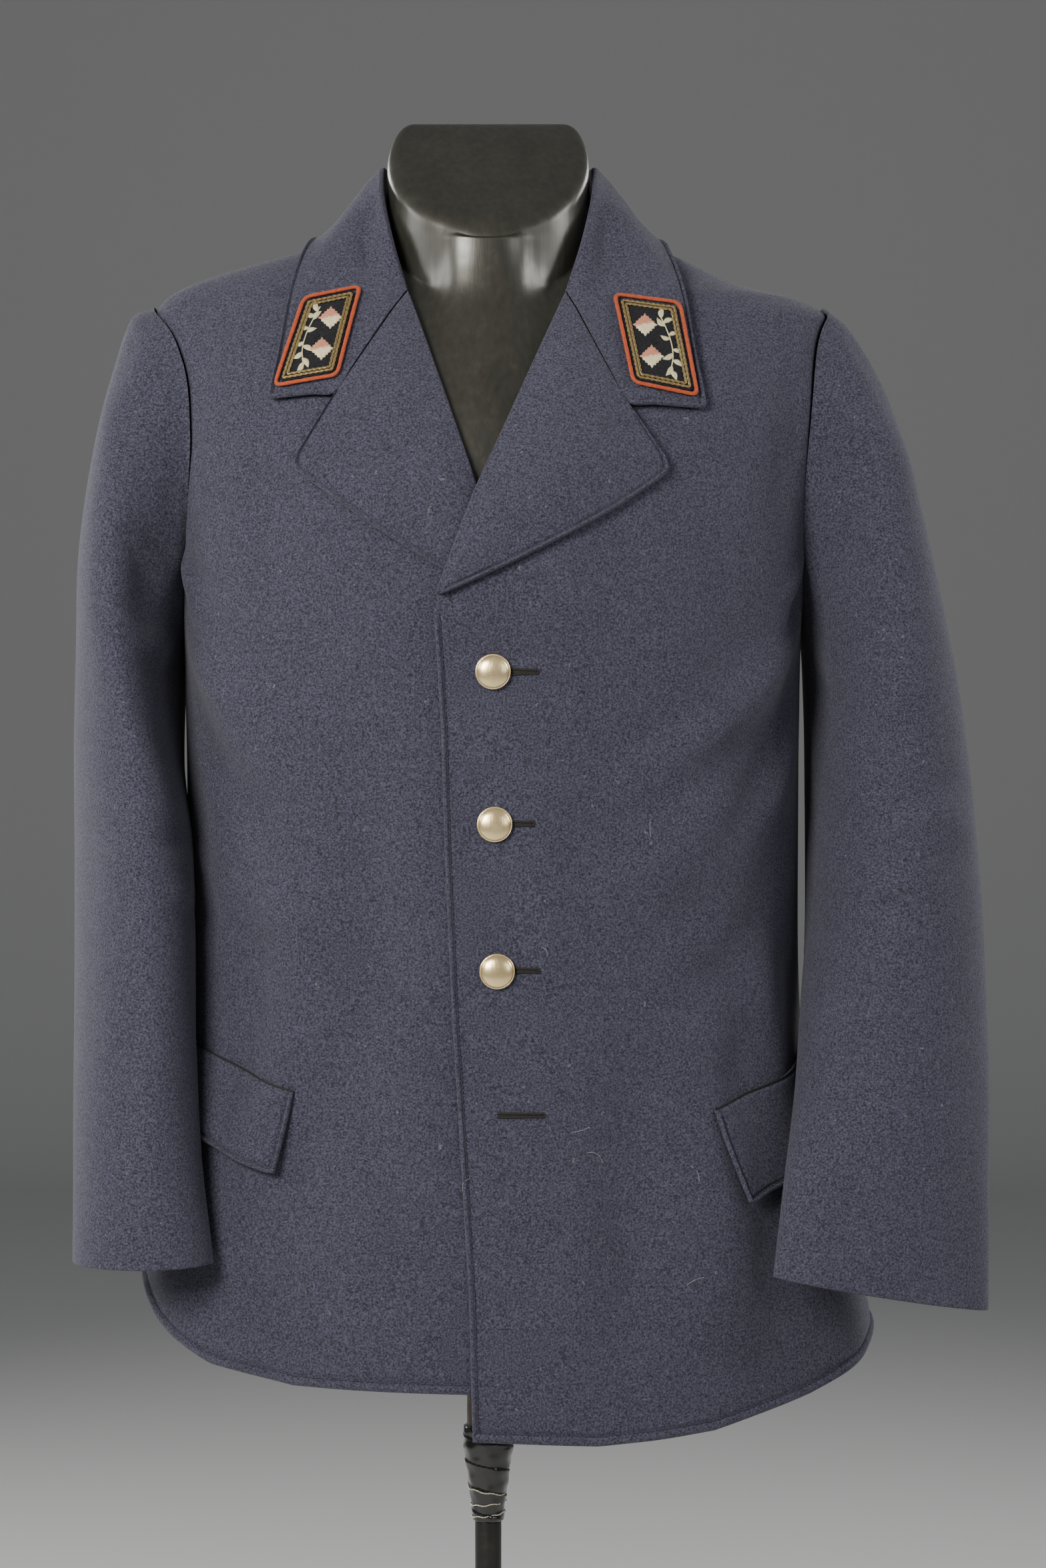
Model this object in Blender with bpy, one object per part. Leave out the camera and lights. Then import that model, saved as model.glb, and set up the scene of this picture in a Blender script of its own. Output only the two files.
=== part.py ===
"""Single-breasted wool tunic with a notched collar, carried by a limbless dress form on a pole.

Metres, +Z up. The front faces -Y, and +X is the side on the right of someone who looks at the front.
The origin is the middle of the underside of the stand's base.
A turn is the angle round the body in degrees: 0 at centre front, 90 at the +X side, -90 at the -X side.
"""

import math

import bmesh
import bpy
import numpy as np
from mathutils import Vector
from mathutils.bvhtree import BVHTree

# Cloth and seams
CLOTH = 0.0020  # wall of the wool cloth
HALF_CLOTH = CLOTH / 2
SEAM_GAP = 0.0004  # between two pieces that meet at a seam
ARMHOLE_GAP = 0.0012  # between a sleeve and the panels
LAY_GAP = 0.0016  # between a lapel and the front that it lies on

# Heights of the tunic
UNDERARM_Z = 1.2400
SHOULDER_TIP_Z = 1.4380
NECK_Z = 1.4880
FLAT_HEM_Z = 0.7000  # the level that the panels' rows are counted from
HEM_BLEND_Z = 0.9500  # above it the rows are level
ARMHOLE_FRONT = {-1: 0.0580, 1: 0.0460}  # how far the armhole reaches to the front, by side
ARMHOLE_BACK = 0.0650
PANEL_ROWS = {"skirt": 11, "armhole": 11, "shoulder": 6}
FRONT_COLUMNS = 13
BACK_COLUMNS = 21

# Outside of the tunic's body, one row for each level: z, left, right, front, back, power of the ring
BODY_RINGS = (
    (0.6600, 0.2450, 0.2680, 0.1520, 0.1560, 2.40),
    (0.7400, 0.2400, 0.2620, 0.1520, 0.1540, 2.40),
    (0.8200, 0.2290, 0.2450, 0.1500, 0.1480, 2.35),
    (0.9200, 0.2120, 0.2160, 0.1460, 0.1370, 2.30),
    (1.0200, 0.2060, 0.2110, 0.1400, 0.1240, 2.30),
    (1.1200, 0.2050, 0.2100, 0.1390, 0.1220, 2.30),
    (1.2200, 0.2070, 0.2130, 0.1390, 0.1310, 2.30),
    (1.2900, 0.2120, 0.2190, 0.1330, 0.1360, 2.30),
    (1.3500, 0.2190, 0.2260, 0.1160, 0.1320, 2.30),
    (1.4000, 0.2260, 0.2320, 0.0910, 0.1220, 2.25),
    (1.4300, 0.2285, 0.2330, 0.0710, 0.1130, 2.20),
    (1.4450, 0.2200, 0.2125, 0.0590, 0.1070, 2.20),
    (1.4520, 0.2100, 0.1830, 0.0535, 0.1042, 2.20),
    (1.4580, 0.1960, 0.1640, 0.0490, 0.1015, 2.20),
    (1.4680, 0.1650, 0.1430, 0.0405, 0.0960, 2.20),
    (1.4780, 0.1280, 0.1210, 0.0330, 0.0890, 2.15),
    (1.4900, 0.0800, 0.0800, 0.0300, 0.0790, 2.10),
)

# Height of the hem round the body, by turn
HEM_UNDER = ((-100, 0.7960), (-80, 0.7870), (-60, 0.7600), (-45, 0.7400), (-28, 0.7290), (30, 0.7230))
HEM_OVER = ((-10, 0.7010), (0, 0.6960), (12, 0.6930), (30, 0.7000), (50, 0.7190), (70, 0.7420), (100, 0.7620))
HEM_BACK = ((90, 0.7560), (120, 0.7640), (180, 0.7600), (240, 0.7760), (270, 0.7920))

# Broad folds of the body: turn, its spread in degrees, depth at the hem, height where it ends
FOLDS = (
    (63.0, 11.0, 0.0060, 1.02),
    (38.0, 9.0, -0.0040, 0.92),
    (20.0, 6.0, 0.0025, 0.86),
    (-58.0, 12.0, 0.0050, 1.00),
    (-33.0, 9.0, -0.0030, 0.90),
    (128.0, 14.0, 0.0060, 1.00),
    (155.0, 11.0, -0.0040, 0.95),
    (-122.0, 15.0, 0.0060, 1.02),
    (-160.0, 11.0, -0.0045, 0.95),
)

# Front edges seen from the front: height and distance from the centre line
OVER_EDGE = (
    (0.6600, -0.0075),
    (0.7880, -0.0105),
    (0.9590, -0.0215),
    (1.0710, -0.0260),
    (1.1500, -0.0290),
    (1.2260, -0.0335),
    (1.2340, -0.0305),
    (1.2992, -0.0059),
    (1.4434, 0.0555),
    (1.4880, 0.0796),
)
UNDER_EDGE = (
    (0.6600, 0.0190),
    (0.9500, 0.0260),
    (1.2000, 0.0300),
    (1.2120, 0.0290),
    (1.3010, -0.0061),
    (1.4434, -0.0556),
    (1.4880, -0.0796),
)
OVERLAP_LIFT = 0.0030  # the top front stands off by this much where it covers the other
BREAK_LIFT = 0.0046  # and by this much more over the lower lapel
BREAK_Z = 1.2650
BREAK_SPREAD = 0.0550
OVERLAP_END = 0.0380  # the lift starts to ease off at this distance past centre
OVERLAP_FADE = 0.0550

# Lapels seen from the front: where the roll line, the notch, the tip and the lower edge lie
LAPEL_OVER = {
    "roll": ((0.0528, 1.4390), (-0.0059, 1.2992), (-0.0290, 1.2375)),
    "notch": (0.0912, 1.3620),
    "tip": (0.1222, 1.3185),
    "round": 0.0125,
    "break": (-0.0262, 1.2375),
    "sag": 0.0050,
}
LAPEL_UNDER = {
    "roll": ((-0.0538, 1.4400), (-0.0059, 1.3010), (0.0005, 1.2840)),
    "notch": (-0.0978, 1.3690),
    "tip": (-0.1262, 1.3215),
    "round": 0.0080,
    "break": (-0.0180, 1.2475),
    "sag": 0.0030,
}
LAPEL_UPPER_ROWS = 4
LAPEL_TIP_ROWS = 3
LAPEL_LOWER_ROWS = 7
LAPEL_COLUMNS = 6
LAPEL_SPRING = 0.0030
# Section of the lapel's roll: distance past the roll line and height over the front, outside then inside
ROLL_SECTION = (
    (-0.0007, -0.0022, -0.0007, -0.0002),
    (-0.0023, -0.0013, -0.0011, 0.0001),
    (-0.0030, 0.0006, -0.0012, 0.0007),
    (-0.0023, 0.0026, -0.0010, 0.0012),
    (0.0004, 0.0035, 0.0004, 0.0015),
)

# Collar from its front end to centre back: share of the way, seam x y z, fold x y z, outer edge x y z
COLLAR = (
    (0.00, 0.0545, -0.0640, 1.4435, 0.0540, -0.0660, 1.4470, 0.1435, -0.1000, 1.3640),
    (0.16, 0.0660, -0.0400, 1.4740, 0.0668, -0.0440, 1.4870, 0.1380, -0.0850, 1.4080),
    (0.34, 0.0755, -0.0110, 1.4905, 0.0733, -0.0110, 1.5230, 0.1280, -0.0420, 1.4600),
    (0.50, 0.0795, 0.0150, 1.4925, 0.0738, 0.0200, 1.5390, 0.1150, 0.0050, 1.4860),
    (0.70, 0.0655, 0.0510, 1.4925, 0.0600, 0.0560, 1.5400, 0.0980, 0.0700, 1.4870),
    (0.86, 0.0350, 0.0745, 1.4925, 0.0310, 0.0745, 1.5415, 0.0500, 0.1010, 1.4850),
    (1.00, 0.0000, 0.0800, 1.4925, 0.0000, 0.0790, 1.5420, 0.0000, 0.1080, 1.4840),
)
COLLAR_TOP = {-1: (-0.0546, 1.4412), 1: (0.0536, 1.4402)}
COLLAR_NOTCH = {-1: (-0.0982, 1.3696), 1: (0.0916, 1.3626)}
COLLAR_TIP = {-1: (-0.1425, 1.3665), 1: (0.1440, 1.3600)}
COLLAR_HALF_STEPS = 16
COLLAR_FALL_STEPS = 7
COLLAR_FALL_FIRST = 4  # column where the fall begins
COLLAR_NOTCH_STEP = 4
COLLAR_FOLD_HALF = 0.0020
COLLAR_LIFT = 0.0028  # middle of the cloth over the body
COLLAR_SPRING = 0.0020  # the outer edge stands off by this much more over the shoulders
COLLAR_BULGE = 0.0020
NECK_TAPER = 1.8  # how fast the column that the collar stands round narrows upwards, a metre
NOTCH_REACH = 0.16  # share of the collar over which the notch's corner fades

# Sleeves from armhole to cuff: share, outermost point x z, innermost point x z, front y, back y,
# skew (how much further out the front lies than the back), swing (how much further back the outside lies)
SLEEVE_RIGHT = (
    (0.00, 0.2330, 1.4360, 0.2145, 1.2400, -0.0460, 0.0650, 0.000, 0.000),
    (0.05, 0.2420, 1.4300, 0.2165, 1.2230, -0.0500, 0.0700, 0.004, 0.000),
    (0.15, 0.2640, 1.3920, 0.2190, 1.2000, -0.0650, 0.0750, 0.012, 0.000),
    (0.25, 0.2838, 1.3280, 0.2200, 1.1650, -0.0780, 0.0750, 0.018, 0.000),
    (0.38, 0.3025, 1.2420, 0.2190, 1.1150, -0.0880, 0.0690, 0.018, 0.004),
    (0.49, 0.3165, 1.1680, 0.2175, 1.0700, -0.0950, 0.0580, 0.014, 0.008),
    (0.60, 0.3255, 1.0900, 0.2160, 1.0250, -0.1020, 0.0420, 0.010, 0.014),
    (0.71, 0.3308, 1.0120, 0.2110, 0.9750, -0.1130, 0.0150, 0.004, 0.022),
    (0.82, 0.3319, 0.9350, 0.2050, 0.9180, -0.1260, -0.0220, 0.000, 0.030),
    (0.92, 0.3280, 0.8480, 0.1950, 0.8600, -0.1430, -0.0700, 0.000, 0.034),
    (1.00, 0.3249, 0.7740, 0.1863, 0.8000, -0.1480, -0.1020, 0.000, 0.034),
)
SLEEVE_LEFT = (
    (0.00, 0.2260, 1.4380, 0.2090, 1.2400, -0.0580, 0.0650, 0.000, 0.000),
    (0.05, 0.2385, 1.4350, 0.2095, 1.2250, -0.0600, 0.0700, 0.000, 0.000),
    (0.15, 0.2540, 1.3950, 0.2100, 1.2050, -0.0690, 0.0770, 0.006, 0.000),
    (0.25, 0.2640, 1.3480, 0.2105, 1.1750, -0.0800, 0.0810, 0.008, 0.000),
    (0.38, 0.2765, 1.2500, 0.2085, 1.1300, -0.0920, 0.0760, -0.006, 0.000),
    (0.49, 0.2775, 1.1600, 0.2010, 1.0750, -0.1030, 0.0640, -0.026, 0.000),
    (0.60, 0.2750, 1.0700, 0.1975, 1.0100, -0.1140, 0.0460, -0.032, 0.000),
    (0.71, 0.2725, 0.9800, 0.1955, 0.9450, -0.1260, 0.0160, -0.032, 0.000),
    (0.84, 0.2705, 0.8900, 0.1900, 0.8750, -0.1400, -0.0240, -0.028, 0.000),
    (1.00, 0.2685, 0.8040, 0.1790, 0.8060, -0.1500, -0.0560, -0.020, 0.000),
)
SLEEVE_RINGS = 24
SLEEVE_AROUND = 24
SLEEVE_MATCH = 0.20  # share of the length over which the armhole's exact line fades out
ARM_CLEAR = 0.0016  # from the body near the armhole
CUFF_CLEAR = 0.0080  # and over the flaps

# Pocket flaps: side, inner end's turn and top, outer end's turn and top, bottoms inner and outer,
# gap to the front
FLAPS = (
    ("left", -32.0, 0.9178, -84.0, 0.9640, 0.8640, 0.9120, 0.0009),
    ("right", 38.3, 0.9053, 86.0, 0.9460, 0.8430, 0.8860, 0.0013),
)
FLAP_ROWS = 6
FLAP_STEPS = 9
FLAP_LEAN = 1.8  # degrees that the bottom lies further out than the top
FLAP_STAND_OFF = 0.0042
FLAP_CORNER = 0.0120

# Buttons: height, distance from the centre line
BUTTONS = ((1.1880, 0.0045), (1.0900, 0.0055), (0.9960, 0.0072))
BUTTON_RADIUS = 0.0114
BUTTON_HEIGHT = 0.0052
BUTTON_RIM = 0.0012
SHANK_RADIUS = 0.0030
SHANK_LENGTH = 0.0018
BUTTON_SEAT = 0.0004
BUTTON_SIDES = 16

# Collar patches seen from the front: corners inner top, outer top, outer bottom, inner bottom
PATCHES = {
    "left": ((-0.0870, 1.4425), (-0.1195, 1.4355), (-0.1355, 1.3785), (-0.0990, 1.3840)),
    "right": ((0.0868, 1.4370), (0.1252, 1.4318), (0.1348, 1.3720), (0.0972, 1.3790)),
}
PATCH_STEPS = 6
PATCH_THICK = 0.0010
PATCH_GAP = 0.0011
PIPING_WIDTH = 0.0030
PIPING_THICK = 0.0020
PIPING_GAP = 0.0008

# Dress form
FORM_CLEAR = 0.0020  # from the cloth at the shoulders
FORM_EASE = 0.0090  # further in below the chest
FORM_HIP_EASE = 0.0120
FORM_BOTTOM_Z = 0.8000
FORM_BOTTOM_DROP = 0.0200
FORM_UNDERSIDE = 0.93  # share of the lowest ring that the flat underside keeps
FORM_SHOULDER_TOP_Z = 1.4800
FORM_LEVEL_Z = 1.3800  # above it the rings tilt towards the neck's sloping top at the front
FORM_TILT = (0.76, 0.20)  # cosines of the directions over which the tilt moves up to the neck
FORM_EVEN_Z = (1.40, 1.46)  # over these heights the points spread out evenly for the neck
FORM_ROWS = 21
FORM_SHOULDER_ROWS = 10
FORM_SIDES = 40
# Neck, one row for each level: z, half width, front, back
NECK_RINGS = (
    (1.4860, 0.0722, 0.0606, 0.0722),
    (1.4950, 0.0716, 0.0608, 0.0705),
    (1.5150, 0.0692, 0.0612, 0.0670),
    (1.5400, 0.0688, 0.0620, 0.0655),
)
FORM_TOP_Z = 1.4840  # above it the shoulders' radius runs out
NECK_FALL = 6.0  # and this fast, a metre
THROAT_BLEND = 0.0140  # how softly the chest runs up into the neck, at the front only
CAP_RIDGE_Y = 0.0280
CAP_TOP_Z = 1.5730
CAP_SLOPE = 0.93
CAP_EDGE = 0.0070  # how far the neck's wall ends under the sloping cap
CAP_ROUNDING = ((0.985, 0.0022), (0.945, 0.0))  # share of the radius, drop

# Stand
ROD_RADIUS = 0.0145
ROD_BOTTOM_Z = 0.6790
JOINT_TOP_RADIUS = 0.0168
JOINT_BOTTOM_RADIUS = 0.0107
JOINT_BOTTOM_Z = 0.6140
JOINT_SHOULDER = 0.0150
POLE_RADIUS = 0.0090
BASE_RADIUS = 0.1600
BASE_THICK = 0.0100
BASE_DOME = 0.0160
STACK_GAP = 0.0003
ROUND_SIDES = 32


def clear_objects():
    for obj in list(bpy.data.objects):
        bpy.data.objects.remove(obj)


def finish_material(name, colour, roughness, metallic=0.0):
    material = bpy.data.materials.new(name)
    material.use_nodes = True
    shader = material.node_tree.nodes["Principled BSDF"]
    shader.inputs["Base Color"].default_value = (*colour, 1.0)
    shader.inputs["Roughness"].default_value = roughness
    shader.inputs["Metallic"].default_value = metallic
    return material


def add_object(name, points, faces, material):
    """One closed mesh, faces turned outward."""
    mesh = bpy.data.meshes.new(name)
    mesh.from_pydata([tuple(p) for p in points], [], faces)
    shape = bmesh.new()
    shape.from_mesh(mesh)
    bmesh.ops.recalc_face_normals(shape, faces=shape.faces)
    shape.to_mesh(mesh)
    shape.free()
    mesh.materials.append(material)
    mesh.shade_smooth()
    mesh.set_sharp_from_angle(angle=math.radians(40))
    obj = bpy.data.objects.new(name, mesh)
    bpy.context.collection.objects.link(obj)
    return obj


def smooth_table(table, at):
    """The table's columns read at values of its first column, along a curve that never overshoots."""
    rows = np.array(table, float)
    key, value = rows[:, 0], rows[:, 1:]
    slope = np.diff(value, axis=0) / np.diff(key)[:, None]
    product = slope[:-1] * slope[1:]
    total = np.where(product > 0, slope[:-1] + slope[1:], 1.0)
    tangent = np.vstack([slope[:1], np.where(product > 0, 2 * product / total, 0.0), slope[-1:]])
    at = np.clip(np.asarray(at, float), key[0], key[-1])
    i = np.clip(np.searchsorted(key, at) - 1, 0, len(key) - 2)
    width = (key[i + 1] - key[i])[..., None]
    u = (at - key[i])[..., None] / width
    start = (1 + 2 * u) * (1 - u) ** 2 * value[i] + u * (1 - u) ** 2 * width * tangent[i]
    end = u**2 * (3 - 2 * u) * value[i + 1] + u**2 * (u - 1) * width * tangent[i + 1]
    return start + end


def read_line(pairs, at):
    """A short table of two columns read along straight stretches."""
    rows = np.array(pairs, float)
    return np.interp(at, rows[:, 0], rows[:, 1])


def ease(low, high, value):
    """0 below low, 1 above high, with a smooth change between."""
    u = np.clip((np.asarray(value, float) - low) / (high - low), 0, 1)
    return u * u * (3 - 2 * u)


def unit(vectors):
    length = np.linalg.norm(vectors, axis=-1, keepdims=True)
    return vectors / np.maximum(length, 1e-12)


def fold_depth(turn, z):
    """How far the broad folds move the body out at a turn and a height."""
    depth = np.zeros(np.broadcast(turn, z).shape)
    for middle, spread, height, top in FOLDS:
        away = (np.asarray(turn) - middle + 180) % 360 - 180
        depth = depth + height * np.exp(-((away / spread) ** 2)) * ease(top, 0.70, z)
    return depth


def body_point(turn, z):
    """Outside of the body: a rounded ring at each height, moved in and out by the folds."""
    turn, z = np.broadcast_arrays(np.asarray(turn, float), np.asarray(z, float))
    left, right, front, back, power = np.moveaxis(smooth_table(BODY_RINGS, z), -1, 0)
    angle = np.radians(turn)
    across, along = np.sin(angle), np.cos(angle)
    half = np.where(across < 0, left, right)
    depth = np.where(along > 0, front, back)
    x = half * np.sign(across) * np.abs(across) ** (2 / power)
    y = -depth * np.sign(along) * np.abs(along) ** (2 / power)
    swell = 1 + fold_depth(turn, z) / np.hypot(x, y)
    return np.stack([x * swell, y * swell, z], axis=-1)


def body_normal(turn, z):
    """Outward normal of the body, from points a little to each side."""
    step_turn, step_z = 0.8, 0.002
    round_way = body_point(turn + step_turn, z) - body_point(turn - step_turn, z)
    up_way = body_point(turn, z + step_z) - body_point(turn, z - step_z)
    return unit(np.cross(round_way, up_way))


def turn_at_x(x, z):
    """Turn on the front half where the ring at a height reaches a distance from centre."""
    left, right, _, _, power = np.moveaxis(smooth_table(BODY_RINGS, z), -1, 0)
    half = np.where(np.asarray(x) < 0, left, right)
    share = np.clip(np.abs(x) / half, 0, 1) ** (power / 2)
    return np.degrees(np.arcsin(share)) * np.sign(x)


def turn_at_y(y, z, back=False):
    """Turn, 0 to 90 from the front or the back, where the ring is a distance y from the side line."""
    _, _, front, rear, power = np.moveaxis(smooth_table(BODY_RINGS, z), -1, 0)
    depth = rear if back else front
    return np.degrees(np.arccos(np.clip(y / depth, 0, 1) ** (power / 2)))


def front_point(x, z):
    """Outside of the front at a place seen from the front, and its normal."""
    turn = turn_at_x(x, z)
    return body_point(turn, z), body_normal(turn, z)


def over_lift(x, z):
    """How far the top front stands off the body, because it covers the other front."""
    near = 1 - ease(OVERLAP_END, OVERLAP_END + OVERLAP_FADE, x)
    low = 1 - ease(1.31, 1.37, z)
    bump = BREAK_LIFT * np.exp(-(((np.asarray(z) - BREAK_Z) / BREAK_SPREAD) ** 4))
    return near * low * (OVERLAP_LIFT + bump)


def grid_normals(points, wrap=False):
    """Normal at each point of a grid, rows by columns, from its neighbours."""
    if wrap:
        across = np.roll(points, -1, axis=1) - np.roll(points, 1, axis=1)
    else:
        across = np.gradient(points, axis=1)
    return unit(np.cross(across, np.gradient(points, axis=0)))


def wall_between(name, outside, inside, material, wrap=False):
    """A cloth wall between two grids of the same size, closed round its rim."""
    rows, columns, _ = outside.shape
    count = rows * columns
    faces = []

    def at(layer, row, column):
        return layer * count + row * columns + column % columns

    for row in range(rows - 1):
        for column in range(columns if wrap else columns - 1):
            for layer, order in ((0, 1), (1, -1)):
                corners = (
                    at(layer, row, column),
                    at(layer, row, column + 1),
                    at(layer, row + 1, column + 1),
                    at(layer, row + 1, column),
                )
                faces.append(corners[::order])
    rim = [(0, c, 0, c + 1) for c in range(columns if wrap else columns - 1)]
    rim += [(rows - 1, c + 1, rows - 1, c) for c in range(columns if wrap else columns - 1)]
    if not wrap:
        rim += [(r + 1, 0, r, 0) for r in range(rows - 1)]
        rim += [(r, columns - 1, r + 1, columns - 1) for r in range(rows - 1)]
    for r1, c1, r2, c2 in rim:
        faces.append((at(0, r2, c2), at(0, r1, c1), at(1, r1, c1), at(1, r2, c2)))
    points = np.concatenate([outside.reshape(-1, 3), inside.reshape(-1, 3)])
    return add_object(name, points, faces, material)


def armhole_half(z, half):
    """Half the armhole's width at a height; nothing above the shoulder tip or below the underarm."""
    middle = (SHOULDER_TIP_Z + UNDERARM_Z) / 2
    reach = (SHOULDER_TIP_Z - UNDERARM_Z) / 2
    return half * np.sqrt(np.clip(1 - ((z - middle) / reach) ** 2, 0, 1))


def panel_rows():
    """Heights of the panels' rows: even in the skirt, closer at both ends of the armhole."""
    skirt = np.linspace(FLAT_HEM_Z, UNDERARM_Z, PANEL_ROWS["skirt"], endpoint=False)
    sweep = np.linspace(0, math.pi, PANEL_ROWS["armhole"])
    middle = (SHOULDER_TIP_Z + UNDERARM_Z) / 2
    armhole = middle - (SHOULDER_TIP_Z - UNDERARM_Z) / 2 * np.cos(sweep)
    shoulder = np.linspace(SHOULDER_TIP_Z, NECK_Z, PANEL_ROWS["shoulder"] + 1)[1:]
    return np.concatenate([skirt, armhole, shoulder])


def drop_to_hem(z, hem):
    """Rows below the blend height are spread evenly down to the hem."""
    share = (HEM_BLEND_Z - z) / (HEM_BLEND_Z - FLAT_HEM_Z)
    return np.where(z < HEM_BLEND_Z, HEM_BLEND_Z - share * (HEM_BLEND_Z - hem), z)


def cloth_panel(name, turn, z, lift, material):
    """A body panel: its outside is the body moved out by the lift, its inside is one wall further in."""
    points, normals = body_point(turn, z), body_normal(turn, z)
    outside = points + normals * lift[..., None]
    wall_between(name, outside, outside - normals * CLOTH, material)
    return outside


def make_front(name, side, edge, hem, lift_of, material):
    """A front from its edge or roll line to the side seam, armhole and shoulder seam."""
    level = panel_rows()[:, None]
    across = np.linspace(0, 1, FRONT_COLUMNS)[None, :]
    rim = SEAM_GAP / 2 + armhole_half(level, ARMHOLE_FRONT[side])
    turn_out = side * turn_at_y(rim, level)
    turn_in = turn_at_x(read_line(edge, level), level)
    turn = turn_in + (turn_out - turn_in) * across
    z = drop_to_hem(np.broadcast_to(level, turn.shape), read_line(hem, turn))
    turn_in = turn_at_x(read_line(edge, z), z)
    rim = SEAM_GAP / 2 + armhole_half(z, ARMHOLE_FRONT[side])
    turn = turn_in + (side * turn_at_y(rim, z) - turn_in) * across
    x = body_point(turn, z)[..., 0]
    return cloth_panel(name, turn, z, lift_of(x, z), material)


def make_back(material):
    level = panel_rows()[:, None]
    across = np.linspace(0, 1, BACK_COLUMNS)[None, :]
    first = 180 - turn_at_y(SEAM_GAP / 2 + armhole_half(level, ARMHOLE_BACK), level, back=True)
    turn = first + (360 - 2 * first) * across
    z = drop_to_hem(np.broadcast_to(level, turn.shape), read_line(HEM_BACK, turn))
    return cloth_panel("back", turn, z, np.zeros_like(z), material)


def armhole_point(side, around):
    """The armhole's line on the body: 0 at the shoulder tip, 90 at the front, 180 at the underarm."""
    middle = (SHOULDER_TIP_Z + UNDERARM_Z) / 2
    reach = (SHOULDER_TIP_Z - UNDERARM_Z) / 2
    z = middle + reach * np.cos(around)
    ahead = np.sin(around) > 0
    y = np.abs(np.sin(around)) * np.where(ahead, ARMHOLE_FRONT[side], ARMHOLE_BACK)
    turn = np.where(ahead, turn_at_y(y, z), 180 - turn_at_y(y, z, back=True))
    point = body_point(side * turn, z)
    point[:, 0] += side * ARMHOLE_GAP
    return point


def push_off_body(points, clear):
    """Moves points that are nearer to the body's axis than its outside plus the clearance out to it."""
    left, right, front, back, power = np.moveaxis(smooth_table(BODY_RINGS, points[..., 2]), -1, 0)
    turn = np.degrees(np.arctan2(points[..., 0], -points[..., 1]))
    clear = clear + np.maximum(fold_depth(turn, points[..., 2]), 0)
    half = np.where(points[..., 0] < 0, left, right) + clear
    depth = np.where(points[..., 1] < 0, front, back) + clear
    ratio = (np.abs(points[..., 0] / half) ** power + np.abs(points[..., 1] / depth) ** power) ** (1 / power)
    pushed = points.copy()
    pushed[..., :2] /= np.minimum(ratio, 1)[..., None]
    return pushed


def sleeve_rings(side, table):
    """Rings of the sleeve's outside: each is an oval set by its outer, inner, front and back points."""
    share = np.linspace(0, 1, SLEEVE_RINGS)[:, None]
    around = np.linspace(0, 2 * math.pi, SLEEVE_AROUND, endpoint=False)[None, :]
    out_x, out_z, in_x, in_z, front, back, skew, swing = np.moveaxis(smooth_table(table, share), -1, 0)
    outward, ahead = np.cos(around), np.sin(around)
    x = (out_x + in_x) / 2 + (out_x - in_x) / 2 * outward + skew / 2 * ahead
    y = (front + back) / 2 + (front - back) / 2 * ahead + swing / 2 * outward
    z = (out_z + in_z) / 2 + (out_z - in_z) / 2 * outward
    rings = np.stack([side * x, y, z], axis=-1)
    start = armhole_point(side, around[0])
    match = (1 - ease(0, SLEEVE_MATCH, share))[..., None]
    rings = rings + (start - rings[0])[None] * match
    clear = ARM_CLEAR + (CUFF_CLEAR - ARM_CLEAR) * ease(1.08, 0.98, rings[..., 2])
    pushed = push_off_body(rings, clear)
    held = ease(0.0, 0.10, share)[..., None]
    return rings + (pushed - rings) * held


def make_sleeve(name, side, table, material):
    rings = sleeve_rings(side, table)
    normals = grid_normals(rings, wrap=True)
    middle = rings.mean(axis=1, keepdims=True)
    facing = np.sign(((rings - middle) * normals).sum(axis=(1, 2), keepdims=True))
    inside = rings - normals * facing * CLOTH
    return wall_between(name, rings, inside, material, wrap=True)


def rounded_corner(start, corner, end, radius, steps):
    """Points from start to end round a corner: straight, a short curve, straight."""
    before = corner + unit(start - corner) * radius
    after = corner + unit(end - corner) * radius
    upper, middle, lower = (np.linspace(0, 1, n + 1)[:, None] for n in steps)
    curve = (1 - middle) ** 2 * before + 2 * middle * (1 - middle) * corner + middle**2 * after
    return np.vstack([start + (before - start) * upper, curve[1:], after + (end - after) * lower[1:]])


def lapel_plan(shape):
    """Rows of a lapel seen from the front: its place on the roll line and on the outer edge."""
    steps = (LAPEL_UPPER_ROWS, LAPEL_TIP_ROWS, LAPEL_LOWER_ROWS)
    notch, tip, end = (np.array(shape[k], float) for k in ("notch", "tip", "break"))
    edge = rounded_corner(notch, tip, end, shape["round"], steps)
    lower = np.linspace(0, 1, LAPEL_LOWER_ROWS + 1)
    edge[-len(lower) :, 1] -= shape["sag"] * np.sin(math.pi * lower)
    roll = np.array(shape["roll"], float)
    length = np.concatenate([[0], np.cumsum(np.linalg.norm(np.diff(roll, axis=0), axis=1))])
    along = np.linspace(0, length[-1], len(edge))
    on_roll = np.stack([np.interp(along, length, roll[:, k]) for k in (0, 1)], axis=-1)
    return on_roll, edge


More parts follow.
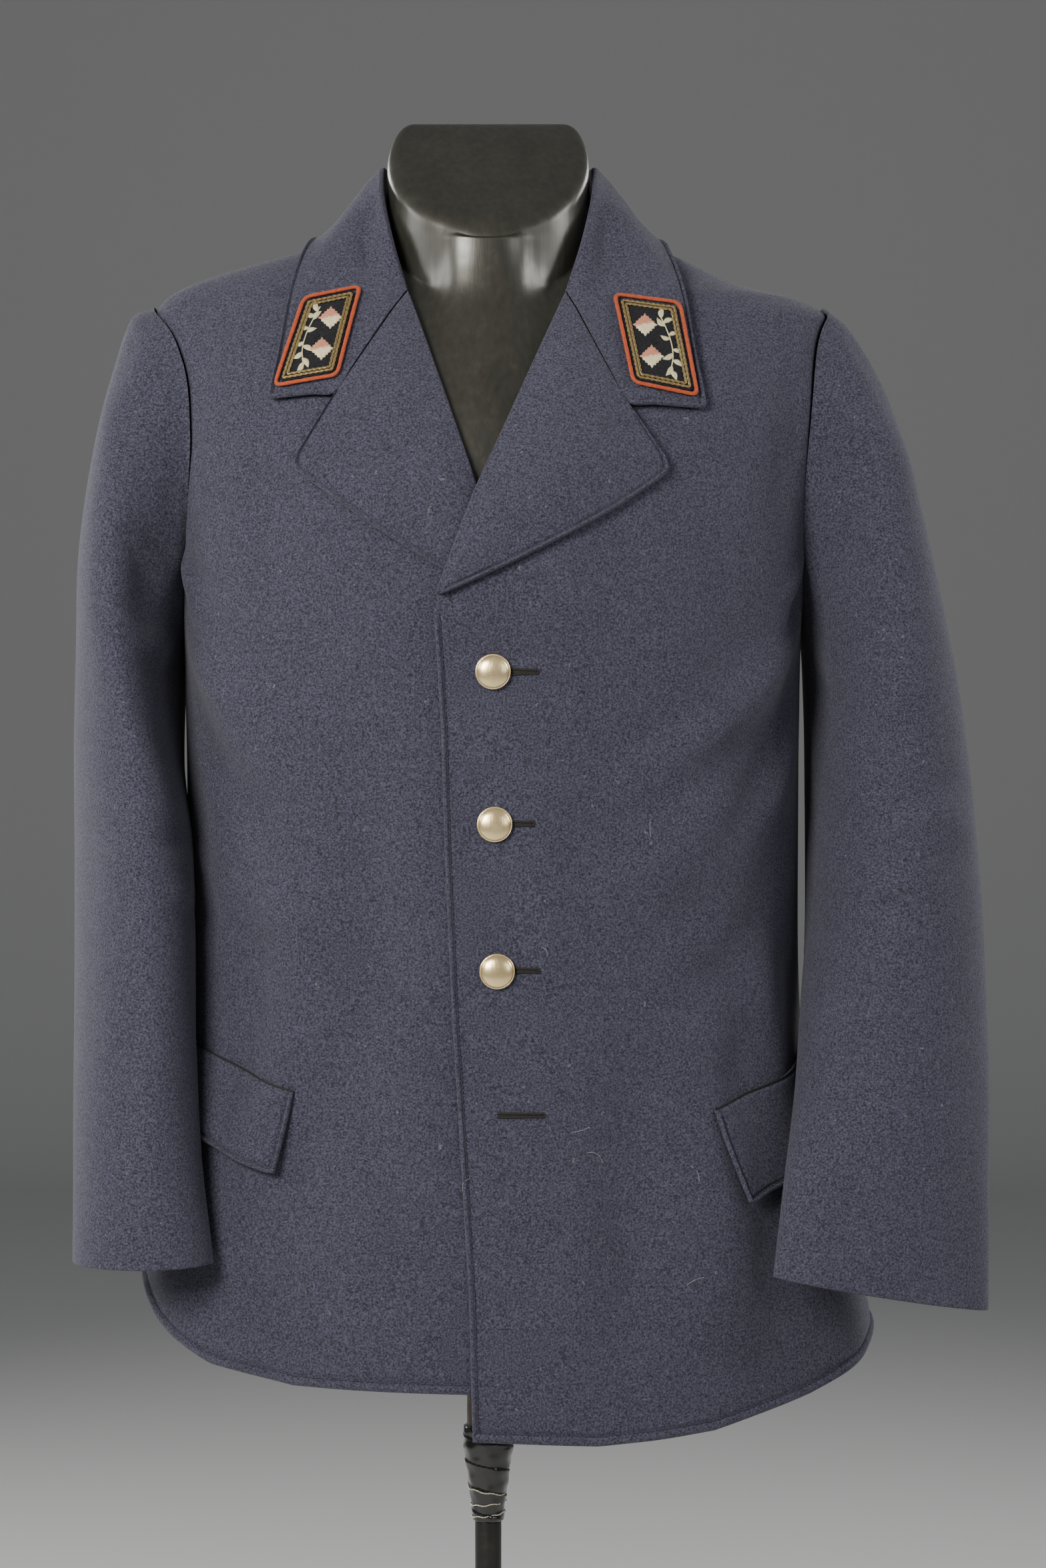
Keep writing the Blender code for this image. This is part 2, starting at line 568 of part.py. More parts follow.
def make_lapel(name, shape, lift_of, material):
    """A lapel: rolls round the front's edge and lies on the front's points, moved out."""
    on_roll, edge = lapel_plan(shape)
    way = unit(edge - on_roll)
    outside, inside = [], []

    def place(plan, lift):
        point, normal = front_point(plan[:, 0], plan[:, 1])
        return point + normal * (lift_of(plan[:, 0], plan[:, 1]) + lift)[:, None]

    rise = np.sin(math.pi * np.linspace(0, 1, len(edge))) * LAPEL_SPRING
    for out_step, out_lift, in_step, in_lift in ROLL_SECTION:
        outside.append(place(on_roll + way * out_step, out_lift))
        inside.append(place(on_roll + way * in_step, in_lift))
    first = ROLL_SECTION[-1][0]
    for share in np.linspace(0, 1, LAPEL_COLUMNS + 1)[1:]:
        plan = on_roll + way * first + (edge - on_roll - way * first) * share
        lift = LAY_GAP + rise * math.sin(math.pi * min(1.0, share * 1.1))
        outside.append(place(plan, lift + CLOTH))
        inside.append(place(plan, lift))
    return wall_between(name, np.stack(outside, axis=1), np.stack(inside, axis=1), material)


def surface_tree(points):
    """A grid of points as a surface that can be searched."""
    rows, columns, _ = points.shape
    faces = []
    for row in range(rows - 1):
        for column in range(columns - 1):
            start = row * columns + column
            faces.append((start, start + 1, start + columns + 1, start + columns))
    return BVHTree.FromPolygons([Vector(p) for p in points.reshape(-1, 3)], faces)


def shoulders_tree():
    """The outside of the body, and the neck's column above it, for what lies over the shoulders."""
    turn = np.linspace(-180, 180, 181)[None, :]
    z = np.concatenate([np.linspace(0.95, 1.42, 48), np.linspace(1.423, 1.4895, 34)])[:, None]
    body = body_point(turn, z)
    rise = np.linspace(0.01, 0.08, 8)[:, None, None]
    above = body[-1:] * (1 - NECK_TAPER * rise * np.array([1, 1, 0])) + np.array([0, 0, 1]) * rise
    return surface_tree(np.concatenate([body, above]))


def lay_on(points, tree, lift, hold):
    """Keeps points at least a lift off the body; hold of 1 brings a point down to exactly the lift."""
    out = points.copy()
    for index in np.ndindex(points.shape[:-1]):
        point = Vector(points[index])
        place, normal, _, _ = tree.find_nearest(point)
        off = (point - place).dot(normal)
        want = lift[index] + max(0.0, off - lift[index]) * (1 - hold[index])
        out[index] = point + normal * (want - off)
    return out


def collar_end(side, falls):
    """The collar's front end: the same roll as the lapel's, then gorge seam and lower edge on the front."""
    top, notch, tip = (np.array(t[side], float) for t in (COLLAR_TOP, COLLAR_NOTCH, COLLAR_TIP))
    at_notch = falls[COLLAR_NOTCH_STEP - 1]
    gorge = np.clip(falls / at_notch, 0, 1)[:, None]
    lower = np.clip((falls - at_notch) / (1 - at_notch), 0, 1)[:, None]
    section = np.array(ROLL_SECTION)
    step, lift = (section[:, 0] + section[:, 2]) / 2, (section[:, 1] + section[:, 3]) / 2
    plan = np.vstack([top + unit(notch - top) * step[:, None], top + (notch - top) * gorge + (tip - notch) * lower])
    lift = np.concatenate([lift, np.full(len(falls), COLLAR_LIFT)])
    point, normal = front_point(plan[:, 0], plan[:, 1])
    return point + normal * lift[:, None]


def collar_half(side, tree):
    """Middle of the collar's cloth from the front end to centre back: stand, fold and fall."""
    share = np.linspace(0, 1, COLLAR_HALF_STEPS + 1)
    rows = smooth_table(COLLAR, share)
    mirror = np.array([side, 1, 1])
    seam, fold, edge = (rows[:, k : k + 3] * mirror for k in (0, 3, 6))
    outward = unit((edge - seam) * np.array([1, 1, 0]))
    stand = np.linalg.norm(fold - seam, axis=1, keepdims=True)
    half = np.minimum(COLLAR_FOLD_HALF, 0.35 * stand)
    drop = np.array([[0, 0, 1]]) * half
    columns = [seam, seam + (fold - seam) * 0.5 - outward * half * 0.6]
    columns += [fold - outward * half - drop, fold, fold + outward * half - drop]
    start, first = columns[-1], len(columns)
    falls = np.linspace(0, 1, COLLAR_FALL_STEPS + 1)[1:]
    columns += [start + (edge - start) * fall for fall in falls]
    grid = np.stack(columns, axis=1)
    bulge = COLLAR_BULGE * np.sin(math.pi * falls)[None, :] * ease(0.1, 0.5, share)[:, None]
    front = 1 - ease(0.10, 0.42, share)[:, None]
    hold = np.maximum(front, falls[None, :] ** 3)
    lift = COLLAR_LIFT + COLLAR_SPRING * (1 - front) + bulge
    grid[:, first:] = lay_on(grid[:, first:], tree, lift, hold)
    mend = collar_end(side, falls) - grid[0]
    return grid + mend * (1 - ease(0, NOTCH_REACH, share))[:, None, None]


def make_collar(tree, material):
    """The collar from one front end round the neck to the other; gives the outside of its fall."""
    left, right = collar_half(-1, tree), collar_half(1, tree)
    middle = np.concatenate([left, right[-2::-1]], axis=0)
    normals = grid_normals(middle)
    normals *= np.sign(normals[COLLAR_HALF_STEPS, -1, 1])
    outside, inside = middle + normals * HALF_CLOTH, middle - normals * HALF_CLOTH
    wall_between("collar", outside, inside, material)
    return outside[:, COLLAR_FALL_FIRST:]


def patch_plan(corners, steps):
    """A grid seen from the front between four corners."""
    inner_top, outer_top, outer_bottom, inner_bottom = (np.array(c, float) for c in corners)
    down = np.linspace(0, 1, steps + 3)[:, None, None]
    out = np.linspace(0, 1, steps)[None, :, None]
    top = inner_top + (outer_top - inner_top) * out
    bottom = inner_bottom + (outer_bottom - inner_bottom) * out
    return top + (bottom - top) * down


def throw_on(plan, tree):
    """Points of a plan thrown straight back on a surface, with its outward normals."""
    points, normals = np.zeros((*plan.shape[:-1], 3)), np.zeros((*plan.shape[:-1], 3))
    for index in np.ndindex(plan.shape[:-1]):
        x, z = plan[index]
        place, normal, _, _ = tree.ray_cast(Vector((x, -1, z)), Vector((0, 1, 0)))
        points[index] = place
        normals[index] = normal if normal.y < 0 else -normal
    return points, normals


def make_patch(side, corners, tree, ground, cord):
    points, normals = throw_on(patch_plan(corners, PATCH_STEPS), tree)
    facing = unit(normals.mean(axis=(0, 1)))
    low = points + facing * PATCH_GAP
    wall_between("patch_" + side, low + facing * PATCH_THICK, low, ground)
    ring = np.concatenate([points[0], points[1:, -1], points[-1, -2::-1], points[-2:0:-1, 0]])
    centre = ring.mean(axis=0)
    outward = ring - centre
    outward = unit(outward - (outward @ facing)[:, None] * facing)
    near = ring + outward * PIPING_GAP
    far = near + outward * PIPING_WIDTH
    lower = np.stack([near, far]) + facing * (PATCH_GAP + 0.0004)
    upper = lower + facing * PIPING_THICK
    wall_between("piping_" + side, upper, lower, cord, wrap=True)


def make_flap(side, turn_in, top_in, turn_out, top_out, bottom_in, bottom_out, lay, material):
    """A slanted pocket flap that lies on the front's points, moved out, and stands off at its lower edge."""
    down = np.linspace(0, 1, FLAP_ROWS)[:, None]
    out = np.linspace(0, 1, FLAP_STEPS)[None, :]
    sign = math.copysign(1, turn_in)
    turn = turn_in + (turn_out - turn_in) * out + sign * FLAP_LEAN * down
    top = top_in + (top_out - top_in) * out
    bottom = bottom_in + (bottom_out - bottom_in) * out
    arc = np.radians(np.abs(turn - turn_in)) * 0.19
    cut = np.clip(1 - arc / FLAP_CORNER, 0, 1)
    bottom = bottom + FLAP_CORNER * (1 - np.sqrt(np.clip(1 - cut**2, 0, 1))) * down
    z = top + (bottom - top) * down
    points, normals = body_point(turn, z), body_normal(turn, z)
    lift = lay + FLAP_STAND_OFF * down**1.5 * (1 - 0.5 * out)
    inside = points + normals * lift[..., None]
    return wall_between("flap_" + side, inside + normals * CLOTH, inside, material)


def lathe(name, profile, sides, material, place=(0, 0, 0), axis=(0, 0, 1)):
    """A turned solid: the profile's radius and height, from the bottom to the top, round an axis."""
    turn = Vector((0, 0, 1)).rotation_difference(Vector(axis))
    points, rings = [], []
    for radius, height in profile:
        if radius == 0:
            rings.append([len(points)])
            points.append(Vector((0, 0, height)))
            continue
        rings.append(list(range(len(points), len(points) + sides)))
        for k in range(sides):
            angle = 2 * math.pi * k / sides
            points.append(Vector((radius * math.cos(angle), radius * math.sin(angle), height)))
    faces = []
    for low, high in zip(rings[:-1], rings[1:]):
        for k in range(sides):
            n = (k + 1) % sides
            corners = (low[k % len(low)], low[n % len(low)], high[n % len(high)], high[k % len(high)])
            faces.append(tuple(dict.fromkeys(corners)))
    placed = [turn @ p + Vector(place) for p in points]
    return add_object(name, placed, faces, material)


def make_button(number, z, x, tree, material):
    """A domed shank button seated on the top front."""
    points, normals = throw_on(np.array([[x, z]]), tree)
    seat = points[0] + normals[0] * BUTTON_SEAT
    profile = [(0, 0), (SHANK_RADIUS, 0), (SHANK_RADIUS, SHANK_LENGTH)]
    profile += [(BUTTON_RADIUS - 0.0008, SHANK_LENGTH), (BUTTON_RADIUS, SHANK_LENGTH + BUTTON_RIM / 2)]
    for k in range(5):
        angle = k * math.pi / 10
        rise = SHANK_LENGTH + BUTTON_RIM + (BUTTON_HEIGHT - BUTTON_RIM) * math.sin(angle)
        profile.append((BUTTON_RADIUS * math.cos(angle), rise))
    profile.append((0, SHANK_LENGTH + BUTTON_HEIGHT))
    lathe(f"button_{number}", profile, BUTTON_SIDES, material, seat, normals[0])


def cap_height(y):
    """Height of the neck's top: level behind the ridge, sloping down in front of it."""
    return np.minimum(CAP_TOP_Z, CAP_TOP_Z + (y - CAP_RIDGE_Y) * CAP_SLOPE)


def heading(points):
    """Direction of points seen from above, 0 at the front."""
    return np.degrees(np.arctan2(points[..., 0], -points[..., 1]))


def ring_radius(direction, half, depth, power):
    """Radius of a rounded ring in a direction seen from above."""
    across, along = np.sin(np.radians(direction)), np.cos(np.radians(direction))
    return (np.abs(across / half) ** power + np.abs(along / depth) ** power) ** (-1 / power)


def form_radius(direction, z):
    """The larger of what fits inside the cloth and the neck, run together softly at the throat."""
    inset = CLOTH + FORM_CLEAR + FORM_EASE * ease(1.36, 1.22, z) + FORM_HIP_EASE * ease(1.0, 0.85, z)
    ahead, leftward = np.cos(np.radians(direction)), np.sin(np.radians(direction)) < 0
    left, right, front, back, power = np.moveaxis(smooth_table(BODY_RINGS, z + inset), -1, 0)
    cloth = ring_radius(direction, np.where(leftward, left, right), np.where(ahead > 0, front, back), power)
    cloth = cloth - inset - NECK_FALL * np.maximum(0, z + inset - FORM_TOP_Z)
    half, front, back = np.moveaxis(smooth_table(NECK_RINGS, z), -1, 0)
    neck = ring_radius(direction, half, np.where(ahead > 0, front, back), 2)
    blend = THROAT_BLEND * ease(0.70, 0.95, ahead)
    return (cloth + neck + np.hypot(cloth - neck, blend)) / 2


def form_rings():
    """Rings of the dress form: inside the cloth up to the neck, then the neck, then its rounded rim."""
    turn = np.linspace(0, 360, FORM_SIDES, endpoint=False)[None, :]
    neck_levels = [row[0] for row in NECK_RINGS]
    low = np.linspace(FORM_BOTTOM_Z, FORM_LEVEL_Z, FORM_ROWS - FORM_SHOULDER_ROWS)
    high = np.linspace(FORM_LEVEL_Z + 0.02, FORM_SHOULDER_TOP_Z, FORM_SHOULDER_ROWS)
    level = np.concatenate([low, high, neck_levels])[:, None]
    _, half, front, back = NECK_RINGS[-1]
    ahead = np.cos(np.radians(turn))
    rim = ring_radius(turn, half, np.where(ahead > 0, front, back), 2)
    rim_z = cap_height(-rim * ahead) - CAP_EDGE
    tilt_z = FORM_LEVEL_Z + (neck_levels[0] - FORM_LEVEL_Z) * ease(*FORM_TILT, ahead)
    share = np.clip((level - tilt_z) / (neck_levels[-1] - tilt_z), 0, 1)
    z = np.minimum(level, tilt_z) + share * (rim_z - tilt_z)
    turn = np.broadcast_to(turn, z.shape)
    by_ring = heading(body_point(turn, z)) % 360
    by_ring[:, 0] = 0
    direction = by_ring + (turn - by_ring) * ease(*FORM_EVEN_Z, z)
    radius = form_radius(direction, z)
    across, along = np.sin(np.radians(direction)), np.cos(np.radians(direction))
    rings = list(np.stack([radius * across, -radius * along, z], axis=-1))
    rim = rings[-1]
    for share, drop in CAP_ROUNDING:
        ring = rim * np.array([share, share, 1])
        ring[:, 2] = cap_height(ring[:, 1]) - drop
        rings.append(ring)
    return rings


def make_form(material):
    rings = form_rings()
    sides = FORM_SIDES
    underside = rings[0] * FORM_UNDERSIDE
    underside[:, 2] = FORM_BOTTOM_Z - FORM_BOTTOM_DROP
    rings = [underside] + rings
    points = np.concatenate(rings)
    faces = []
    for row in range(len(rings) - 1):
        for k in range(sides):
            n = (k + 1) % sides
            low, high = row * sides, (row + 1) * sides
            faces.append((low + k, low + n, high + n, high + k))
    faces.append(tuple(range(sides))[::-1])
    top = len(points) - sides
    for k in range(sides // 2):
        left, left_next = (sides - k) % sides, sides - k - 1
        corners = (top + k, top + k + 1, top + left_next, top + left)
        faces.append(tuple(dict.fromkeys(corners)))
    return add_object("form_body", points, faces, material)


def make_stand(rod, wrap, pole, base):
    """Round base, lower pole, tapered joint and the rod that carries the form."""
    base_top = BASE_THICK + BASE_DOME
    profile = [(0, 0), (BASE_RADIUS - 0.002, 0), (BASE_RADIUS, 0.002), (BASE_RADIUS, BASE_THICK - 0.002)]
    profile += [(BASE_RADIUS - 0.003, BASE_THICK), (0.060, BASE_THICK + 0.005), (0.022, BASE_THICK + 0.010)]
    profile += [(0.016, base_top), (0, base_top)]
    lathe("stand_base", profile, ROUND_SIDES, base)
    low, high = base_top + STACK_GAP, JOINT_BOTTOM_Z - STACK_GAP
    lathe("stand_pole", [(0, low), (POLE_RADIUS, low), (POLE_RADIUS, high), (0, high)], ROUND_SIDES // 2, pole)
    low, high = JOINT_BOTTOM_Z, ROD_BOTTOM_Z - STACK_GAP
    shoulder = high - JOINT_SHOULDER
    profile = [(0, low), (JOINT_BOTTOM_RADIUS, low), (JOINT_TOP_RADIUS, shoulder), (JOINT_TOP_RADIUS, high)]
    lathe("stand_joint", [*profile, (0, high)], ROUND_SIDES // 2, wrap)
    low, high = ROD_BOTTOM_Z, FORM_BOTTOM_Z - FORM_BOTTOM_DROP - STACK_GAP
    lathe("stand_rod", [(0, low), (ROD_RADIUS, low), (ROD_RADIUS, high), (0, high)], ROUND_SIDES // 2, rod)


def make_tunic():
    wool = finish_material("navy_wool", (0.040, 0.043, 0.075), 0.95)
    metal = finish_material("button_metal", (0.72, 0.62, 0.42), 0.42, 0.85)
    felt = finish_material("black_felt", (0.010, 0.010, 0.014), 0.95)
    orange = finish_material("orange_cord", (0.80, 0.16, 0.035), 0.75)

    def no_lift(x, z):
        return np.zeros(np.broadcast(x, z).shape)

    over = make_front("front_over", 1, OVER_EDGE, HEM_OVER, over_lift, wool)
    make_front("front_under", -1, UNDER_EDGE, HEM_UNDER, no_lift, wool)
    make_back(wool)
    make_sleeve("sleeve_right", 1, SLEEVE_RIGHT, wool)
    make_sleeve("sleeve_left", -1, SLEEVE_LEFT, wool)
    make_lapel("lapel_over", LAPEL_OVER, over_lift, wool)
    make_lapel("lapel_under", LAPEL_UNDER, no_lift, wool)
    fall = surface_tree(make_collar(shoulders_tree(), wool))
    for side, corners in PATCHES.items():
        make_patch(side, corners, fall, felt, orange)
    for row in FLAPS:
        make_flap(*row, wool)
    for number, (z, x) in enumerate(BUTTONS, start=1):
        make_button(number, z, x, surface_tree(over), metal)


def make_carrier():
    shell = finish_material("form_charcoal", (0.055, 0.052, 0.045), 0.38)
    rod = finish_material("rod_brown", (0.060, 0.040, 0.024), 0.50)
    wrap = finish_material("joint_wrap", (0.012, 0.011, 0.011), 0.25)
    steel = finish_material("pole_grey", (0.045, 0.044, 0.040), 0.45, 0.60)
    base = finish_material("base_black", (0.020, 0.020, 0.021), 0.45, 0.40)
    make_form(shell)
    make_stand(rod, wrap, steel, base)


clear_objects()
make_tunic()
make_carrier()
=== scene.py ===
import math

import bpy
import numpy as np
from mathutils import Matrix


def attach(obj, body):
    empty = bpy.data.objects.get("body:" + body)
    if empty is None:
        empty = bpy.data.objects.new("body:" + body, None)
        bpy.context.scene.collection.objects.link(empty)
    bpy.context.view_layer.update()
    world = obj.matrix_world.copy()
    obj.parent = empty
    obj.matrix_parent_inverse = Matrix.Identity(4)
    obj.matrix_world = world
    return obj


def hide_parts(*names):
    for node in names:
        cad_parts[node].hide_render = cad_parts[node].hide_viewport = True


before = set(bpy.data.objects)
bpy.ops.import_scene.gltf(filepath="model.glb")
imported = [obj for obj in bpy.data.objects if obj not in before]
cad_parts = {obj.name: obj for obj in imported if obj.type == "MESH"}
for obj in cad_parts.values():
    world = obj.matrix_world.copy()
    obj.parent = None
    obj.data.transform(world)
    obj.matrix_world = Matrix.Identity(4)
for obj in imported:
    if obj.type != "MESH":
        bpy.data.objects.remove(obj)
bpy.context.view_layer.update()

# Single-breasted wool tunic on a limbless dress form: fine cloth, sewing, trimmings, finishes and light.
# Metres, +Z up. The front faces -Y, and +X is the side on the right of someone who looks at the front.
# A turn is the angle round the body in degrees: 0 at centre front, 90 at the +X side, -90 at the -X side.
# A plan is a place seen from the front: its x and its z.

# Cloth and seams
CLOTH = 0.0020
SEAM_GAP = 0.0002
ARMHOLE_GAP = 0.0004
LAY_GAP = 0.0031
EDGE_ROUND = 0.0011  # the free edges round off over this distance
EDGE_THIN = 0.40  # and by this share of the cloth on each face
SEAM_DIP = 0.0007  # the cloth turns in by this much at a seam
SEAM_SPREAD = 0.0022
EDGE_STITCH = 0.0036  # from a stitched edge to its stitches
HEM_STITCH = 0.0065
PUFF = 0.0014  # the turned edge is fuller than the cloth by this much
GROOVE = 0.0014  # the stitches press in by this much
GROOVE_HALF = 0.0010
STITCH_PITCH = 0.0030
STITCH_LONG = 0.0023
STITCH_HALF = 0.00032  # half a stitch's thickness
STITCH_TAPER = 0.8
STITCH_BOW = 0.5
STITCH_ROLL = 0.6
CUFF_LINE = 0.0830  # from the cuff's edge to the stitches round it

FAR = 9.0  # stands for a distance to an edge that isn't there
CORNER_CLEAR = (0.004, 0.008)  # an edge's groove comes in over these distances from a corner
# The step from a worked edge whose direction the stitches take: at the hem, a front's edge, elsewhere
HEM_ROW = 8
EDGE_COLUMN = 6
BESIDE = 7

# How a plan is laid on a surface: from which points, how far round, how many, how softly weighed
FRONT_FACING = -0.15
NEAR_REACH = 0.012
NEAR_POINTS = 5
NEAR_SOFT = 1e-7

# Steps near a worked edge, then even ones
EDGE_STEPS = (0.0, 0.0003, 0.0008, 0.0015, 0.0022, 0.0029, 0.0036, 0.0043, 0.0052, 0.0065, 0.0078, 0.0095)
PITCH = 0.0036

# Heights of the tunic
UNDERARM_Z = 1.2400
SHOULDER_TIP_Z = 1.4380
NECK_Z = 1.4880
FLAT_HEM_Z = 0.7000
HEM_BLEND_Z = 0.9500
ARMHOLE_MIDDLE_Z = (SHOULDER_TIP_Z + UNDERARM_Z) / 2
ARMHOLE_REACH = (SHOULDER_TIP_Z - UNDERARM_Z) / 2
ARMHOLE_FRONT = {-1: 0.0580, 1: 0.0460}  # from the side line to the armhole's front edge
ARMHOLE_BACK = 0.0650
ARMHOLE_ROWS = 72
SHOULDER_ROWS = 20
FRONT_RUN = 0.36  # way round a front, to space its columns
BACK_COLUMNS = 140
EDGE_STITCH_Z = (1.2320, 1.2150)  # the front edge's stitches come in between these heights

# Outside of the tunic's body, one row for each level: z, left, right, front, back, power of the ring
BODY_RINGS = (
    (0.6600, 0.2450, 0.2680, 0.1520, 0.1560, 2.40),
    (0.7400, 0.2400, 0.2620, 0.1520, 0.1540, 2.40),
    (0.8200, 0.2290, 0.2450, 0.1500, 0.1480, 2.35),
    (0.9200, 0.2120, 0.2160, 0.1460, 0.1370, 2.30),
    (1.0200, 0.2060, 0.2110, 0.1400, 0.1240, 2.30),
    (1.1200, 0.2050, 0.2100, 0.1390, 0.1220, 2.30),
    (1.2200, 0.2070, 0.2130, 0.1390, 0.1310, 2.30),
    (1.2900, 0.2120, 0.2190, 0.1330, 0.1360, 2.30),
    (1.3500, 0.2190, 0.2260, 0.1160, 0.1320, 2.30),
    (1.4000, 0.2260, 0.2320, 0.0910, 0.1220, 2.25),
    (1.4300, 0.2285, 0.2330, 0.0710, 0.1130, 2.20),
    (1.4450, 0.2200, 0.2125, 0.0590, 0.1070, 2.20),
    (1.4520, 0.2100, 0.1830, 0.0535, 0.1042, 2.20),
    (1.4580, 0.1960, 0.1640, 0.0490, 0.1015, 2.20),
    (1.4680, 0.1650, 0.1430, 0.0405, 0.0960, 2.20),
    (1.4780, 0.1280, 0.1210, 0.0330, 0.0890, 2.15),
    (1.4900, 0.0800, 0.0800, 0.0300, 0.0790, 2.10),
)

# Height of the hem round the body, by turn
HEM_UNDER = ((-100, 0.7960), (-80, 0.7870), (-60, 0.7600), (-45, 0.7400), (-28, 0.7290), (30, 0.7230))
HEM_OVER = ((-10, 0.7010), (0, 0.6960), (12, 0.6930), (30, 0.7000), (50, 0.7190), (70, 0.7420), (100, 0.7620))
HEM_BACK = ((90, 0.7560), (120, 0.7640), (180, 0.7600), (240, 0.7760), (270, 0.7920))

# Broad folds of the body: turn, its spread in degrees, depth at the hem, height where it ends
FOLDS = (
    (63.0, 11.0, 0.0060, 1.02),
    (38.0, 9.0, -0.0040, 0.92),
    (20.0, 6.0, 0.0025, 0.86),
    (-58.0, 12.0, 0.0050, 1.00),
    (-33.0, 9.0, -0.0030, 0.90),
    (128.0, 14.0, 0.0060, 1.00),
    (155.0, 11.0, -0.0040, 0.95),
    (-122.0, 15.0, 0.0060, 1.02),
    (-160.0, 11.0, -0.0045, 0.95),
)

# Soft creases of the body: turn and height of both ends, half width, rise, how far the middle bows
BODY_CREASES = (
    (74, 1.232, 22, 1.128, 0.017, 0.0078, 0.014),
    (76, 1.195, 30, 1.060, 0.016, -0.0068, 0.016),
    (68, 1.120, 14, 1.020, 0.021, 0.0068, -0.012),
    (64, 1.060, 24, 0.960, 0.020, -0.0054, 0.012),
    (40, 1.180, 12, 1.120, 0.013, -0.0034, 0.006),
    (-74, 1.236, -34, 1.150, 0.016, 0.0063, -0.012),
    (-74, 1.190, -28, 1.075, 0.018, -0.0054, -0.014),
    (-64, 1.060, -20, 1.000, 0.022, 0.0054, 0.010),
    (-50, 1.120, -44, 0.880, 0.018, -0.0043, 0.008),
    (-22, 1.160, -20, 0.840, 0.020, -0.0058, 0.006),
    (-34, 1.000, -40, 0.780, 0.022, 0.0049, -0.008),
    (50, 1.010, 45, 0.900, 0.018, -0.0054, 0.006),
    (26, 0.960, 20, 0.740, 0.018, -0.0063, -0.008),
    (38, 0.940, 34, 0.730, 0.018, 0.0063, 0.006),
    (12, 0.880, 8, 0.730, 0.014, 0.0043, 0.004),
    (4, 1.160, 8, 0.960, 0.012, 0.0024, 0.004),
    (56, 1.400, 60, 1.300, 0.014, -0.0036, 0.008),
    (44, 1.420, 40, 1.340, 0.014, 0.0032, -0.008),
    (-58, 1.405, -62, 1.310, 0.014, -0.0029, -0.006),
    (-46, 1.400, -50, 1.260, 0.016, 0.0026, 0.008),
    (180, 1.430, 178, 1.250, 0.022, -0.0039, 0.006),
    (150, 1.400, 126, 1.240, 0.021, 0.0053, 0.014),
    (-152, 1.395, -124, 1.230, 0.020, 0.0049, -0.016),
    (112, 1.240, 162, 1.100, 0.019, 0.0058, -0.014),
    (-110, 1.230, -160, 1.110, 0.019, 0.0065, 0.014),
    (150, 1.062, 198, 1.045, 0.018, -0.0044, 0.010),
    (126, 1.012, 178, 0.985, 0.017, 0.0070, -0.012),
    (-130, 1.022, -178, 0.992, 0.016, 0.0061, 0.012),
    (160, 0.960, 164, 0.780, 0.020, -0.0052, 0.006),
    (-146, 0.960, -140, 0.790, 0.021, 0.0056, 0.008),
    (104, 1.120, 112, 0.950, 0.016, -0.0061, 0.008),
    (-104, 1.130, -112, 0.950, 0.017, -0.0056, -0.008),
    (78, 1.270, 62, 1.235, 0.008, 0.0035, 0.004),
    (80, 1.252, 60, 1.205, 0.008, -0.0041, 0.006),
    (-78, 1.275, -62, 1.235, 0.008, 0.0032, -0.004),
    (-80, 1.250, -58, 1.200, 0.009, -0.0038, -0.006),
    (100, 1.262, 122, 1.215, 0.009, 0.0026, -0.006),
    (-100, 1.258, -124, 1.210, 0.009, 0.0026, 0.006),
)

# Slow unevenness of worn cloth: waves round the body, waves up it a metre, phase, rise
RIPPLES = ((5, 1.6, 0.4, 0.0011), (9, 2.7, 2.1, 0.0008), (14, 4.4, 4.0, 0.0004), (3, 3.9, 1.2, 0.0009))
CREASE_FLOOR = 0.0012  # high on the body, where the form is near, no crease goes deeper than this
LOW_FLOOR = 0.0120  # and below the chest they may go deeper by this much
FLOOR_SOFT = 0.0008
CHEST_Z = (1.36, 1.22)  # between these heights, down the chest, the cloth comes away from the form
HIP_Z = (1.00, 0.85)
CALM_Z = (1.48, 1.40)  # between these heights, below the neck, the unevenness comes in
BODY_RADIUS = 0.165  # on average, to turn degrees into lengths
CREASE_SPAN = (0.9, 0.05)  # a crease fades as an arch: its part between the ends, and where it starts
CREASE_FADE = 1.3
CREASE_SINK = 0.35  # share of its rise by which a crease turns the other way on one side
CREASE_SINK_AT = 1.6  # and how many half widths away

# Front edges seen from the front: height and distance from the centre line
OVER_EDGE = (
    (0.6600, -0.0075),
    (0.7880, -0.0105),
    (0.9590, -0.0215),
    (1.0710, -0.0260),
    (1.1500, -0.0290),
    (1.2260, -0.0335),
    (1.2340, -0.0305),
    (1.2992, -0.0059),
    (1.4434, 0.0555),
    (1.4880, 0.0796),
)
UNDER_EDGE = (
    (0.6600, 0.0190),
    (0.9500, 0.0260),
    (1.2000, 0.0300),
    (1.2120, 0.0290),
    (1.3010, -0.0061),
    (1.4434, -0.0556),
    (1.4880, -0.0796),
)
# The over front stands off the under one, most where the lapels break, and comes down to the side
OVERLAP_LIFT = 0.0030
BREAK_LIFT = 0.0046
BREAK_Z = 1.2650
BREAK_SPREAD = 0.0550
OVERLAP_END = 0.0380
OVERLAP_FADE = 0.0550
OVERLAP_TOP_Z = (1.31, 1.37)

